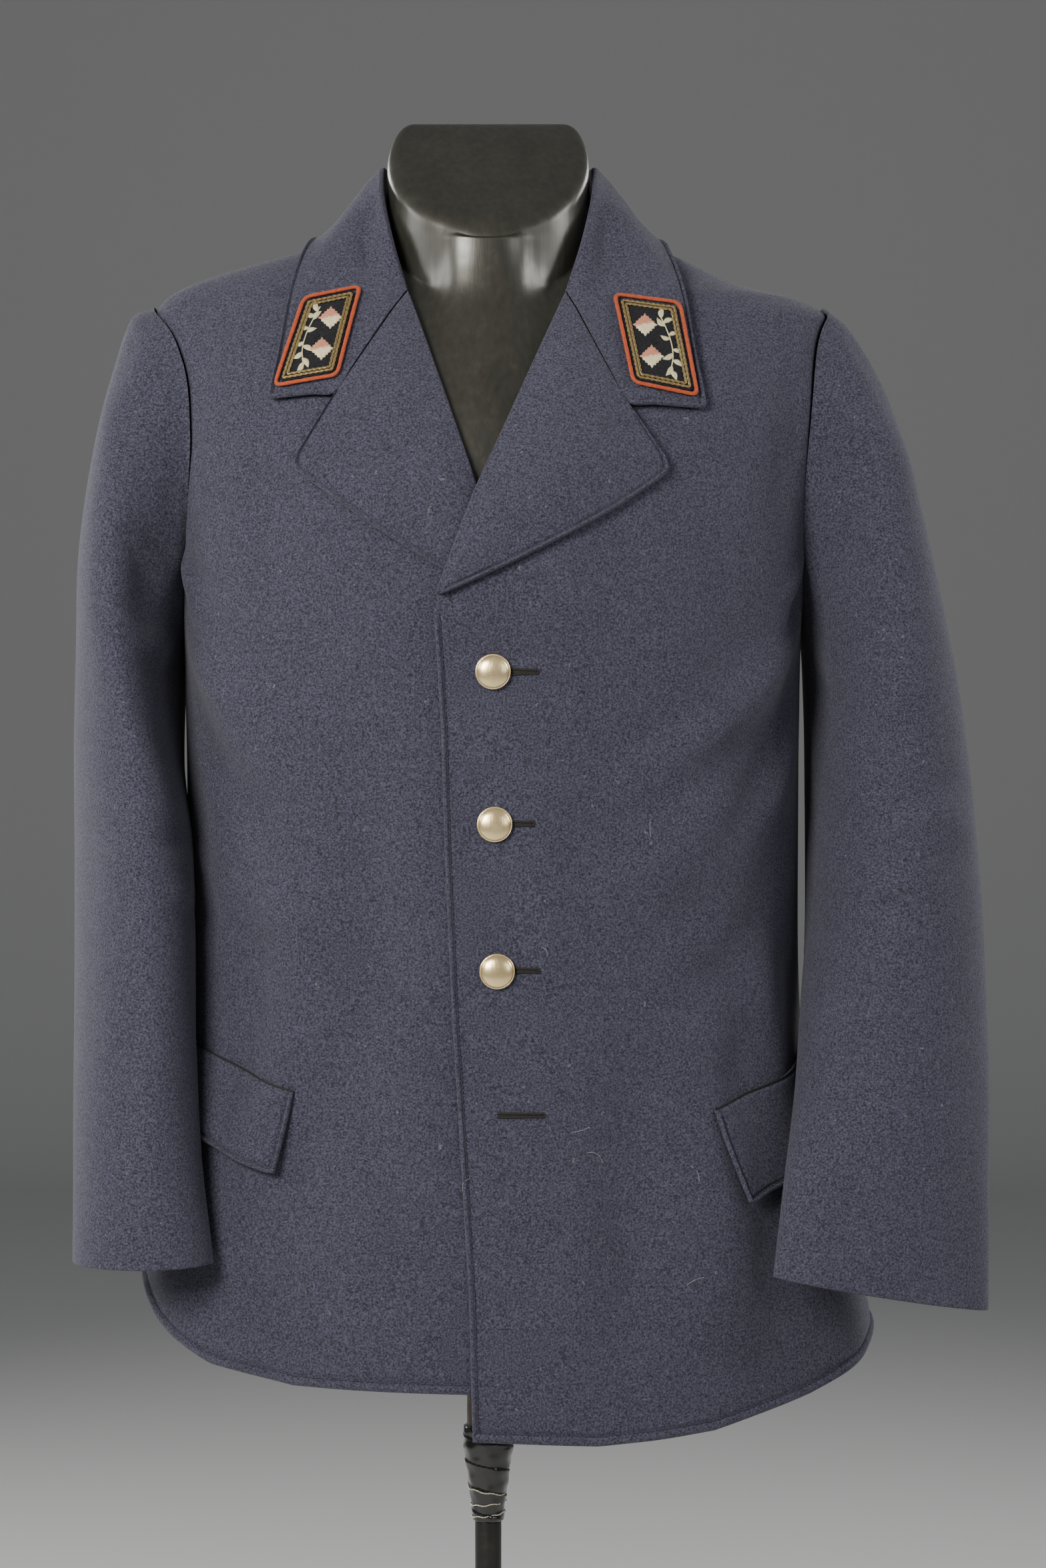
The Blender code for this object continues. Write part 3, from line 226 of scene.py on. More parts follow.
# Lapels seen from the front: where the roll line, the notch, the tip and the lower edge lie
LAPEL_OVER = {
    "roll": ((0.0528, 1.4390), (-0.0059, 1.2992), (-0.0290, 1.2375)),
    "notch": (0.0912, 1.3620),
    "tip": (0.1222, 1.3185),
    "round": 0.0125,
    "break": (-0.0262, 1.2375),
    "sag": 0.0050,
}
LAPEL_UNDER = {
    "roll": ((-0.0538, 1.4400), (-0.0059, 1.3010), (0.0005, 1.2840)),
    "notch": (-0.0978, 1.3690),
    "tip": (-0.1262, 1.3215),
    "round": 0.0080,
    "break": (-0.0180, 1.2475),
    "sag": 0.0030,
}
LAPEL_STEPS = (34, 16, 58)
LAPEL_COLUMNS = 6
LAPEL_SPRING = 0.0036
LAPEL_SPRING_END = 1.1  # the spring ends short of the lapel's edge by this ratio
LAPEL_RUN = 0.11  # the way across a lapel, to space its columns
LAPEL_PITCH = PITCH * 0.8
ROLL_COLUMNS = 20
ROLL_SECTION = (
    (-0.0007, -0.0022, -0.0007, -0.0002),
    (-0.0023, -0.0013, -0.0011, 0.0001),
    (-0.0030, 0.0006, -0.0012, 0.0007),
    (-0.0023, 0.0026, -0.0010, 0.0012),
    (0.0004, 0.0035, 0.0004, 0.0015),
)

# Collar from its front end to centre back: share of the way, seam x y z, fold x y z, outer edge x y z
COLLAR = (
    (0.00, 0.0545, -0.0640, 1.4435, 0.0540, -0.0660, 1.4470, 0.1435, -0.1000, 1.3640),
    (0.16, 0.0660, -0.0400, 1.4740, 0.0668, -0.0440, 1.4870, 0.1380, -0.0850, 1.4080),
    (0.34, 0.0755, -0.0110, 1.4905, 0.0733, -0.0110, 1.5230, 0.1280, -0.0420, 1.4600),
    (0.50, 0.0795, 0.0150, 1.4925, 0.0738, 0.0200, 1.5390, 0.1150, 0.0050, 1.4860),
    (0.70, 0.0655, 0.0510, 1.4925, 0.0600, 0.0560, 1.5400, 0.0980, 0.0700, 1.4870),
    (0.86, 0.0350, 0.0745, 1.4925, 0.0310, 0.0745, 1.5415, 0.0500, 0.1010, 1.4850),
    (1.00, 0.0000, 0.0800, 1.4925, 0.0000, 0.0790, 1.5420, 0.0000, 0.1080, 1.4840),
)
COLLAR_TOP = {-1: (-0.0546, 1.4412), 1: (0.0536, 1.4402)}
COLLAR_NOTCH = {-1: (-0.0982, 1.3696), 1: (0.0916, 1.3626)}
COLLAR_TIP = {-1: (-0.1425, 1.3665), 1: (0.1440, 1.3600)}
COLLAR_HALF_STEPS = 16
COLLAR_FALL_STEPS = 7
COLLAR_FALL_FIRST = 4
COLLAR_NOTCH_STEP = 4
COLLAR_FOLD_HALF = 0.0020
COLLAR_LIFT = 0.0044
COLLAR_SPRING = 0.0010
COLLAR_BULGE = 0.0020
COLLAR_ROUND = 0.0055
COLLAR_HINGE = 0.35  # the fold's half width is at most this share of the stand's height
COLLAR_STAND_HOLLOW = 0.6
COLLAR_BULGE_AT = (0.1, 0.5)  # shares of the way round where the fall's bulge comes in
COLLAR_FREE_AT = (0.10, 0.42)  # and where the fall comes off the fronts
COLLAR_RUN = 0.52  # ways round and down the collar, to space its rows and columns
COLLAR_FALL_RUN = 0.088
COLLAR_FALL_PITCH = PITCH * 0.8
COLLAR_FOLD_COLUMNS = 18
NECK_TAPER = 1.8  # how fast the neck's column narrows above the body, as a share of it a metre
NOTCH_REACH = 0.16
# The body and the neck's column that the collar lies on: first and last height, rows
LAID_LOW = (0.95, 1.42, 60)
LAID_HIGH = (1.423, 1.4895, 50)
LAID_NECK = (0.004, 0.08, 20)
LAID_TURNS = 241

# Sleeves from armhole to cuff: share, outermost point x z, innermost point x z, front y, back y,
# skew (how much further out the front lies than the back), swing (how much further back the outside lies)
SLEEVE_RIGHT = (
    (0.00, 0.2330, 1.4360, 0.2145, 1.2400, -0.0460, 0.0650, 0.000, 0.000),
    (0.05, 0.2420, 1.4300, 0.2165, 1.2230, -0.0500, 0.0700, 0.004, 0.000),
    (0.15, 0.2640, 1.3920, 0.2190, 1.2000, -0.0650, 0.0750, 0.012, 0.000),
    (0.25, 0.2838, 1.3280, 0.2200, 1.1650, -0.0780, 0.0750, 0.018, 0.000),
    (0.38, 0.3025, 1.2420, 0.2190, 1.1150, -0.0880, 0.0690, 0.018, 0.004),
    (0.49, 0.3165, 1.1680, 0.2175, 1.0700, -0.0950, 0.0580, 0.014, 0.008),
    (0.60, 0.3255, 1.0900, 0.2160, 1.0250, -0.1020, 0.0420, 0.010, 0.014),
    (0.71, 0.3308, 1.0120, 0.2110, 0.9750, -0.1130, 0.0150, 0.004, 0.022),
    (0.82, 0.3319, 0.9350, 0.2050, 0.9180, -0.1260, -0.0220, 0.000, 0.030),
    (0.92, 0.3280, 0.8480, 0.1950, 0.8600, -0.1430, -0.0700, 0.000, 0.034),
    (1.00, 0.3249, 0.7740, 0.1863, 0.8000, -0.1480, -0.1020, 0.000, 0.034),
)
SLEEVE_LEFT = (
    (0.00, 0.2260, 1.4380, 0.2090, 1.2400, -0.0580, 0.0650, 0.000, 0.000),
    (0.05, 0.2385, 1.4350, 0.2095, 1.2250, -0.0600, 0.0700, 0.000, 0.000),
    (0.15, 0.2540, 1.3950, 0.2100, 1.2050, -0.0690, 0.0770, 0.006, 0.000),
    (0.25, 0.2640, 1.3480, 0.2105, 1.1750, -0.0800, 0.0810, 0.008, 0.000),
    (0.38, 0.2765, 1.2500, 0.2085, 1.1300, -0.0920, 0.0760, -0.006, 0.000),
    (0.49, 0.2775, 1.1600, 0.2010, 1.0750, -0.1030, 0.0640, -0.026, 0.000),
    (0.60, 0.2750, 1.0700, 0.1975, 1.0100, -0.1140, 0.0460, -0.032, 0.000),
    (0.71, 0.2725, 0.9800, 0.1955, 0.9450, -0.1260, 0.0160, -0.032, 0.000),
    (0.84, 0.2705, 0.8900, 0.1900, 0.8750, -0.1400, -0.0240, -0.028, 0.000),
    (1.00, 0.2685, 0.8040, 0.1790, 0.8060, -0.1500, -0.0560, -0.020, 0.000),
)
SLEEVE_LENGTH = 0.66
SLEEVE_AROUND = 104
SLEEVE_MATCH = 0.20
SLEEVE_RADIUS = 0.055  # on average, to turn degrees into lengths
SLEEVE_WAVE = 0.0006
SLEEVE_EASE = 0.10  # over this share from the armhole the waves and the clearance come in
ARM_CLEAR = 0.0016
CUFF_CLEAR = 0.0080
CUFF_CLEAR_Z = (1.08, 0.98)
CUFF_LINE_PRESS = 1.3  # of the common groove's depth, at the line round the cuff
CUFF_EDGE_PRESS = 0.6

# Soft creases of the sleeves: share and place round it (0 outermost, 90 front) of both ends,
# half width, rise, how far the middle bows
CREASES_RIGHT = (
    (0.02, 128, 0.20, 84, 0.007, 0.0026, 0.006),
    (0.16, 150, 0.34, 96, 0.008, -0.0030, 0.008),
    (0.02, 30, 0.18, 44, 0.008, -0.0018, 0.004),
    (0.50, 150, 0.57, 70, 0.009, 0.0034, 0.008),
    (0.56, 150, 0.62, 74, 0.008, -0.0034, 0.006),
    (0.06, 70, 0.26, 20, 0.012, -0.0029, 0.010),
    (0.10, 100, 0.34, 60, 0.014, 0.0029, 0.010),
    (0.30, 110, 0.44, 50, 0.013, -0.0023, 0.008),
    (0.46, 120, 0.56, 30, 0.013, 0.0029, 0.008),
    (0.54, 110, 0.62, 20, 0.012, -0.0025, -0.006),
    (0.62, 100, 0.80, 60, 0.014, 0.0022, 0.008),
    (0.46, 220, 0.58, 300, 0.014, 0.0032, 0.008),
    (0.56, 230, 0.66, 310, 0.012, -0.0027, 0.006),
    (0.08, 250, 0.30, 300, 0.014, -0.0027, 0.010),
)
CREASES_LEFT = (
    (0.02, 132, 0.18, 88, 0.007, 0.0026, 0.006),
    (0.14, 150, 0.32, 100, 0.008, -0.0030, 0.008),
    (0.03, 34, 0.16, 48, 0.008, -0.0016, 0.004),
    (0.48, 150, 0.55, 66, 0.009, 0.0032, 0.008),
    (0.54, 150, 0.60, 72, 0.008, -0.0032, 0.006),
    (0.07, 100, 0.24, 55, 0.013, -0.0027, 0.008),
    (0.12, 120, 0.30, 95, 0.012, 0.0025, 0.006),
    (0.44, 110, 0.52, 30, 0.014, 0.0025, 0.008),
    (0.52, 120, 0.60, 40, 0.013, -0.0023, 0.006),
    (0.66, 90, 0.86, 70, 0.014, 0.0018, -0.006),
    (0.45, 215, 0.56, 300, 0.014, 0.0031, 0.008),
    (0.55, 225, 0.64, 310, 0.012, -0.0025, 0.006),
    (0.08, 245, 0.30, 290, 0.014, -0.0025, 0.010),
)

# Pocket flaps: side, inner end's turn and top, outer end's turn and top, bottoms inner and outer, gap
FLAPS = (
    ("left", -32.0, 0.9178, -84.0, 0.9640, 0.8640, 0.9120, 0.0009),
    ("right", 38.3, 0.9053, 86.0, 0.9460, 0.8430, 0.8860, 0.0013),
)
FLAP_LEAN = 1.8  # degrees by which a flap's lower edge lies further out
FLAP_STAND_OFF = 0.0056
FLAP_CORNER = 0.0120
FLAP_RADIUS = 0.19  # of the body there, to turn degrees into lengths
FLAP_RUN = 0.17  # ways along and down a flap, to space its columns and rows
FLAP_FALL = 0.058
FLAP_PITCH = PITCH * 0.7
FLAP_CORNER_CLEAR = (0.002, 0.006)
FLAP_SEAM_DIP = 0.0008  # the flap turns in by this much where it leaves the pocket's seam
FLAP_SEAM_SPREAD = 0.0016
# A dark cord sunk along each flap's top seam is a painted shadow line: its depth, half width and half height
FLAP_SHADOW_DEPTH = 0.0009
FLAP_SHADOW_HALF = 0.0006
FLAP_SHADOW_TALL = 0.0007

# Buttons: height, distance from the centre line. Buttonholes: height, both ends, gape
BUTTONS = ((1.1880, 0.0045), (1.0900, 0.0055), (0.9960, 0.0072))
BUTTON_RADIUS = 0.0114
BUTTON_HEIGHT = 0.0052
BUTTON_RIM = 0.0012
SHANK_RADIUS = 0.0030
SHANK_LENGTH = 0.0018
BUTTON_SEAT = 0.0004
RIM_ROUND = 0.0006  # radius of the button's rolled rim
DOME_INSET = 0.0008  # the dome begins this far inside the rim
SHANK_FLARE = 0.0004
BUTTON_SIDES = 64
BUTTONHOLES = (
    (1.1880, 0.0060, 0.0334, 0.0016),
    (1.0905, 0.0060, 0.0308, 0.0010),
    (0.9965, 0.0080, 0.0340, 0.0008),
    (0.9040, 0.0074, 0.0374, 0.0003),
)
PURL_PITCH = 0.0009  # from one purl stitch round a buttonhole to the next
PURL_SWELL = 0.22
PURL_HALF = 0.00078
PURL_TALL = 0.00066
PURL_RINGS = 260
PURL_LIFT = 0.0002
EYELET_RADIUS = 0.0013
SLIT_HALF = 0.00095  # from the buttonhole's middle to its purl where it is closed
# Heights of the faces of the dark sheet in the slit, which is painted shade in the buttonhole's opening
SLIT_SHADE_LIFTS = (0.00022, -0.0004)

# Collar patches seen from the front: corners inner top, outer top, outer bottom, inner bottom
PATCHES = {
    "left": ((-0.0870, 1.4425), (-0.1195, 1.4355), (-0.1355, 1.3785), (-0.0990, 1.3840)),
    "right": ((0.0868, 1.4370), (0.1252, 1.4318), (0.1348, 1.3720), (0.0972, 1.3790)),
}
PATCH_THICK = 0.0010
PATCH_GAP = 0.0011
PIPING_WIDTH = 0.0027
PIPING_THICK = 0.0020
PIPING_ROUND = 0.0052
PIPING_GAP = 0.0008  # between the felt and the piping
PIPING_LIFT = 0.0004
LOOP_PITCH = 0.0009
ROPE_PITCH = 0.00040
FELT_ROUND = PIPING_ROUND * 0.75
FELT_RINGS = (0.02, 0.2, 0.4, 0.6, 0.78, 0.9, 0.97, 0.995, 1.0)  # shares of the way out to its edge
FELT_FALL = (0, 0, 0, 0, 0, 0, 0, 0.0001, 0.0004)  # its top falls there
BRAID_INSET = 0.0019  # from the patch's edge to the middle of the outer rope
ROPE_RADIUS = 0.00115
ROPE_STEP = 0.0020
ROPE_ROUND = (0.0016, 0.0010)  # of the outer and the inner rope's corners
ROPE_LAY = 0.0034  # the rope's length for one turn of its strands
ROPE_SWELL = 1.08
ROPE_WAIST = 0.42
ROPE_FLAT = 0.8
ROPE_SIDES = 10

# Sprig and pips, in shares across and down a patch: stem, leaves (place, heading, length), pips
STEM = ((0.66, 0.13), (0.73, 0.30), (0.77, 0.48), (0.74, 0.66), (0.62, 0.86))
LEAVES = (
    (0.68, 0.19, -78, 0.0082),
    (0.70, 0.24, -20, 0.0076),
    (0.72, 0.28, -132, 0.0078),
    (0.75, 0.38, -10, 0.0064),
    (0.76, 0.43, -158, 0.0066),
    (0.77, 0.55, 24, 0.0062),
    (0.76, 0.60, 150, 0.0080),
    (0.73, 0.68, 34, 0.0076),
    (0.70, 0.75, 122, 0.0082),
    (0.66, 0.81, 62, 0.0076),
)
PIPS = ((0.37, 0.30), (0.37, 0.68))
PIP_RADIUS = 0.0072
PIP_LIFT = 0.0003
PIP_TEETH = 16
PIP_TOOTH = 0.15
PIP_RAYS = 24
PIP_RAY = 0.00040  # height of a ray's ridge
PIP_THICK = 0.00055
PIP_DOME = 0.00035
PIP_BOSS = 0.0006  # height of the boss in its middle
PIP_DITCH = 0.0003  # and depth of the ditch round the boss
PIP_TINT = (-0.0012, 0.0014)  # heights between which the upper half's tone comes in
PIP_SLANT = 0.25
STEM_HALF = 0.00042
STEM_TALL = 0.00040
STEM_LIFT = 0.00035
STEM_RINGS = 33
LEAF_LIFT = 0.0004
LEAF_HALF = 0.23  # of a leaf's length
LEAF_BEND = 0.10
LEAF_DOME = 0.00055
LEAF_RIB = 0.00030
LEAF_THICK = 0.00025

# Dress form
FORM_CLEAR = 0.0020  # inside the cloth, and more below the chest and at the hips
FORM_EASE = 0.0090
FORM_HIP_EASE = 0.0120
FORM_BOTTOM_Z = 0.8000
FORM_BOTTOM_DROP = 0.0200
FORM_SHOULDER_TOP_Z = 1.4800
FORM_LEVEL_Z = 1.3800
FORM_TILT = (0.76, 0.20)  # cosines of the direction: towards the sides the rings start to tilt higher up
FORM_EVEN_Z = (1.40, 1.46)  # the rings' points go from the body's turns to even directions here
FORM_SIDES = 160
FORM_BOTTOM_TUCK = 0.07  # the lower edge's rounding draws in by this share
TRUNK_RINGS = 60
SHOULDER_RINGS = 45
THROAT_RINGS = 25
CAP_RINGS = 13
CAP_MIDDLE = 0.03
# Neck, one row for each level: z, half width, front, back
NECK_RINGS = (
    (1.4860, 0.0722, 0.0606, 0.0722),
    (1.4950, 0.0716, 0.0608, 0.0705),
    (1.5150, 0.0692, 0.0612, 0.0670),
    (1.5400, 0.0688, 0.0620, 0.0655),
)
FORM_TOP_Z = 1.4840
NECK_FALL = 6.0  # how fast the trunk draws in above the form's top, so that the neck takes over
THROAT_BLEND = 0.0140
THROAT_MORE = 0.0120
THROAT_WIDE = (0.70, 0.95)  # cosines of the direction where the throat's blends come in
THROAT_NARROW = (0.86, 1.0)
CAP_RIDGE_Y = 0.0280  # behind this ridge the neck's cap is level, in front of it it slopes down
CAP_TOP_Z = 1.5730
CAP_SLOPE = 0.93
CAP_EDGE = 0.0100
CAP_SHARE = 0.870  # share of the rim's radius where the rounding meets the cap
RIDGE_SOFT = 0.0030

# Stand
ROD_RADIUS = 0.0145
ROD_BOTTOM_Z = 0.6790
JOINT_TOP_RADIUS = 0.0168
JOINT_BOTTOM_RADIUS = 0.0107
JOINT_BOTTOM_Z = 0.6140
JOINT_SHOULDER = 0.0150
JOINT_ANKLE = 0.0080
POLE_RADIUS = 0.0090
BASE_RADIUS = 0.1600
BASE_THICK = 0.0100
BASE_DOME = 0.0160
STACK_GAP = 0.0003
AXIS = 0.0005  # radius where a turned profile starts and ends, next to its axis
BAR_ROUND = 0.0006
BASE_ROUND = 0.0035
# Profile of the base's top, from its edge to the socket: radius and height above the plate
BASE_TOP = ((0.157, 0), (0.060, 0.005), (0.022, 0.010), (0.016, BASE_DOME), (0.001, BASE_DOME))
BASE_CHAMFER = 0.002

# Tape wound round the joint
TAPE_PITCH = 0.017
TAPE_LAP = 0.0005
TAPE_WRINKLE = 0.00035
TAPE_ENDS = (0.001, 0.003)  # flat this near to the top; over the other length both ends swell

# String round the joint's foot: level, tilt, first angle, sweep; the tape's radius that it lies on
STRINGS = ((0.6185, 0.0016, 0.2, 6.1), (0.6262, 0.0012, 1.4, 5.6), (0.6345, -0.0022, 2.4, 4.9))
STRING_SEAT = ((0.614, 0.0107), (0.622, 0.0110), (0.6637, 0.0168))
STRING_LIFT = 0.0007
STRING_RADIUS = 0.00048
STRING_RINGS = 70

# Loose hairs on the front
HAIRS = 9
HAIR_SEED = 11
HAIR_X = (-0.02, 0.14)
HAIR_Z = (0.76, 1.24)
HAIR_LENGTH = (0.005, 0.013)
HAIR_BOW = (-0.3, 0.3)
HAIR_RADIUS = 0.00007
HAIR_LIFT = 0.00022
HAIR_ARCH = 0.0002

# The photograph's view: where the lens stands, and its focal length as a share of the picture's height
LENS_PLACE = (0.0237, -2.3300, 1.1160)
LENS_SHARE = 5116.3 / 2350
SENSOR_WIDTH = 36.0


def smooth_table(table, at):
    """The table's columns read at values of its first column, on cubic arcs that never overshoot."""
    rows = np.array(table, float)
    key, value = rows[:, 0], rows[:, 1:]
    slope = np.diff(value, axis=0) / np.diff(key)[:, None]
    product = slope[:-1] * slope[1:]
    total = np.where(product > 0, slope[:-1] + slope[1:], 1.0)
    tangent = np.vstack([slope[:1], np.where(product > 0, 2 * product / total, 0.0), slope[-1:]])
    at = np.clip(np.asarray(at, float), key[0], key[-1])
    i = np.clip(np.searchsorted(key, at) - 1, 0, len(key) - 2)
    width = (key[i + 1] - key[i])[..., None]
    u = (at - key[i])[..., None] / width
    start = (1 + 2 * u) * (1 - u) ** 2 * value[i] + u * (1 - u) ** 2 * width * tangent[i]
    end = u**2 * (3 - 2 * u) * value[i + 1] + u**2 * (u - 1) * width * tangent[i + 1]
    return start + end


def read_line(pairs, at):
    """A short table of two columns read along straight stretches."""
    rows = np.array(pairs, float)
    return np.interp(at, rows[:, 0], rows[:, 1])


def ease(low, high, value):
    """0 below low, 1 above high, 3u^2 - 2u^3 between."""
    u = np.clip((np.asarray(value, float) - low) / (high - low), 0, 1)
    return u * u * (3 - 2 * u)


def unit(vectors):
    """Vectors divided by their lengths."""
    length = np.linalg.norm(vectors, axis=-1, keepdims=True)
    return vectors / np.maximum(length, 1e-12)


def spread(length, pitch, start=False, end=False, fine_at=()):
    """Shares of a length: even steps, with the worked edge's small steps at marked ends and lines."""
    fine = np.array(EDGE_STEPS)
    places = [np.linspace(0, length, round(length / pitch) + 1)]
    keep = np.ones(len(places[0]), bool)
    zones = []
    if start:
        zones.append((0.0, fine))
    if end:
        zones.append((length, -fine))
    for place in fine_at:
        zones.append((place, np.concatenate([-fine[:5], fine[1:5]])))
    for place, steps in zones:
        near = (places[0] > place + steps.min() - pitch / 2) & (places[0] < place + steps.max() + pitch / 2)
        keep &= ~near
        places.append(place + steps)
    places[0] = places[0][keep]
    return np.unique(np.concatenate([[0.0, length], *places]).round(7)) / length


def line_rise(across, up, creases, scale):
    """Sum of soft creases: rise times the bell of the distance from a bowed line, faded at its ends."""
    total = np.zeros(np.broadcast(across, up).shape)
    for a0, u0, a1, u1, half, rise, bow in creases:
        start = np.array([a0 * scale[0], u0 * scale[1]])
        way = np.array([a1 * scale[0], u1 * scale[1]]) - start
        length = np.hypot(*way)
        way = way / length
        x, y = across * scale[0] - start[0], up * scale[1] - start[1]
        along = (x * way[0] + y * way[1]) / length
        aside = y * way[0] - x * way[1] - bow * 4 * along * (1 - along)
        arch = np.clip(along * CREASE_SPAN[0] + CREASE_SPAN[1], 0, 1)
        fade = np.sin(math.pi * arch) ** CREASE_FADE
        sink = CREASE_SINK * np.exp(-((aside / half - CREASE_SINK_AT) ** 2))
        total = total + rise * (np.exp(-((aside / half) ** 2)) - sink) * fade
    return total


def fold_depth(turn, z):
    """How far broad folds, soft creases and slow unevenness move the body out at a turn and a height."""
    depth = np.zeros(turn.shape)
    for middle, width, height, top in FOLDS:
        away = (turn - middle + 180) % 360 - 180
        depth = depth + height * np.exp(-((away / width) ** 2)) * ease(top, FLAT_HEM_Z, z)
    round_way = (turn + 90) % 360 - 90
    scale = (math.radians(BODY_RADIUS), 1.0)
    front = [row for row in BODY_CREASES if abs(row[0]) <= 90 and abs(row[2]) <= 90]
    rear = [[row[0] % 360, row[1], row[2] % 360, *row[3:]] for row in BODY_CREASES if abs(row[0]) > 90]
    depth = depth + line_rise(round_way, z, front, scale)
    depth = depth + line_rise(turn % 360, z, rear, scale)
    calm = ease(*CALM_Z, z)
    for waves, tall, phase, rise in RIPPLES:
        depth = depth + calm * rise * np.sin(np.radians(turn) * waves + 2 * math.pi * tall * z + phase)
    floor = -CREASE_FLOOR - LOW_FLOOR * ease(*CHEST_Z, z)
    return floor + (depth - floor + np.hypot(depth - floor, FLOOR_SOFT)) / 2


def ring_place(turn, z):
    """Place from above at a turn on the body's smooth ring, |x/half|^power + |y/depth|^power = 1."""
    left, right, front, back, power = np.moveaxis(smooth_table(BODY_RINGS, z), -1, 0)
    across, along = np.sin(np.radians(turn)), np.cos(np.radians(turn))
    half = np.where(across < 0, left, right)
    depth = np.where(along > 0, front, back)
    x = half * np.sign(across) * np.abs(across) ** (2 / power)
    y = -depth * np.sign(along) * np.abs(along) ** (2 / power)
    return x, y


def body_point(turn, z):
    """Outside of the body: its smooth ring, swollen by the folds."""
    turn, z = np.broadcast_arrays(np.asarray(turn, float), np.asarray(z, float))
    x, y = ring_place(turn, z)
    swell = 1 + fold_depth(turn, z) / np.hypot(x, y)
    return np.stack([x * swell, y * swell, z], axis=-1)


def body_normal(turn, z):
    """Outward normal of the body: cross product of steps round it and up it."""
    step_turn, step_z = 0.8, 0.002
    round_way = body_point(turn + step_turn, z) - body_point(turn - step_turn, z)
    up_way = body_point(turn, z + step_z) - body_point(turn, z - step_z)
    return unit(np.cross(round_way, up_way))


def turn_at_x(x, z):
    """Turn on the front half where the ring at a height reaches a distance from centre."""
    left, right, _, _, power = np.moveaxis(smooth_table(BODY_RINGS, z), -1, 0)
    half = np.where(np.asarray(x) < 0, left, right)
    share = np.clip(np.abs(x) / half, 0, 1) ** (power / 2)
    return np.degrees(np.arcsin(share)) * np.sign(x)


def turn_at_y(y, z, back=False):
    """Turn, 0 to 90 from the front or the back, where the ring is a distance y from the side line."""
    _, _, front, rear, power = np.moveaxis(smooth_table(BODY_RINGS, z), -1, 0)
    depth = rear if back else front
    return np.degrees(np.arccos(np.clip(y / depth, 0, 1) ** (power / 2)))


def front_point(x, z):
    """Outside of the front at a plan, and its normal."""
    turn = turn_at_x(x, z)
    return body_point(turn, z), body_normal(turn, z)


def no_lift(x, z):
    """The under front lies on the body."""
    return np.zeros(np.broadcast(x, z).shape)


def over_lift(x, z):
    """How far the top front stands off the body, because it covers the other front."""
    near = 1 - ease(OVERLAP_END, OVERLAP_END + OVERLAP_FADE, x)
    low = 1 - ease(*OVERLAP_TOP_Z, z)
    bump = BREAK_LIFT * np.exp(-(((np.asarray(z) - BREAK_Z) / BREAK_SPREAD) ** 4))
    return near * low * (OVERLAP_LIFT + bump)


def grid_normals(points, wrap=False):
    """Normal at each point of a grid: cross product of the steps along its columns and its rows."""
    if wrap:
        across = np.roll(points, -1, axis=1) - np.roll(points, 1, axis=1)
    else:
        across = np.gradient(points, axis=1)
    return unit(np.cross(across, np.gradient(points, axis=0)))


def refine(values, at, axis):
    """Values of a grid at fractional places along one axis, on cubic arcs through its points."""
    values = np.moveaxis(values, axis, 0)
    last = len(values) - 1
    i = np.clip(np.floor(at).astype(int), 0, last - 1)
    u = (np.asarray(at) - i).reshape(-1, *[1] * (values.ndim - 1))
    before, here, there, after = (values[np.clip(i + k, 0, last)] for k in (-1, 0, 1, 2))
    slope_in, slope_out = (there - before) / 2, (after - here) / 2
    curve = here * (1 - 3 * u**2 + 2 * u**3) + there * (3 * u**2 - 2 * u**3)
    curve = curve + slope_in * (u - 2 * u**2 + u**3) + slope_out * (u**3 - u**2)
    return np.moveaxis(curve, 0, axis)


def grid_faces(rows, columns, wrap=False):
    """Corners of the squares of a grid of points, row by row."""
    r = np.arange(rows - 1)[:, None]
    c = np.arange(columns if wrap else columns - 1)[None, :]
    after = (c + 1) % columns
    corners = [r * columns + c, r * columns + after, (r + 1) * columns + after, (r + 1) * columns + c]
    return np.stack(corners, axis=-1).reshape(-1, 4)


def add_piece(name, parts, material):
    """One object from parts, each of points and faces of four or three corners, turned outward."""
    points, loops, sizes, offset = [], [], [], 0
    for part in parts:
        points.append(part[0].reshape(-1, 3))
        for faces in part[1:]:
            loops.append((faces + offset).reshape(-1))
            sizes.append(np.full(len(faces), faces.shape[1]))
        offset += len(points[-1])
    points, loops, sizes = np.concatenate(points), np.concatenate(loops), np.concatenate(sizes)
    starts = np.concatenate([[0], np.cumsum(sizes)[:-1]])
    volume = 0
    for first, corners in ((starts, (0, 1, 2)), (starts[sizes == 4], (0, 2, 3))):
        a, b, c = (points[loops[first + k]] for k in corners)
        volume += (a * np.cross(b, c)).sum()
    if volume < 0:
        ends = np.repeat(starts + sizes - 1, sizes)
        place = np.arange(len(loops)) - np.repeat(starts, sizes)
        loops = loops[ends - place]
    mesh = bpy.data.meshes.new(name)
    mesh.vertices.add(len(points))
    mesh.vertices.foreach_set("co", points.astype(np.float32).ravel())
    mesh.loops.add(len(loops))
    mesh.loops.foreach_set("vertex_index", loops.astype(np.int32))
    mesh.polygons.add(len(sizes))
    mesh.polygons.foreach_set("loop_start", starts.astype(np.int32))
    mesh.update(calc_edges=True)
    mesh.materials.append(material)
    mesh.shade_smooth()
    obj = bpy.data.objects.new(name, mesh)
    bpy.context.scene.collection.objects.link(obj)
    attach(obj, "root")
    return obj


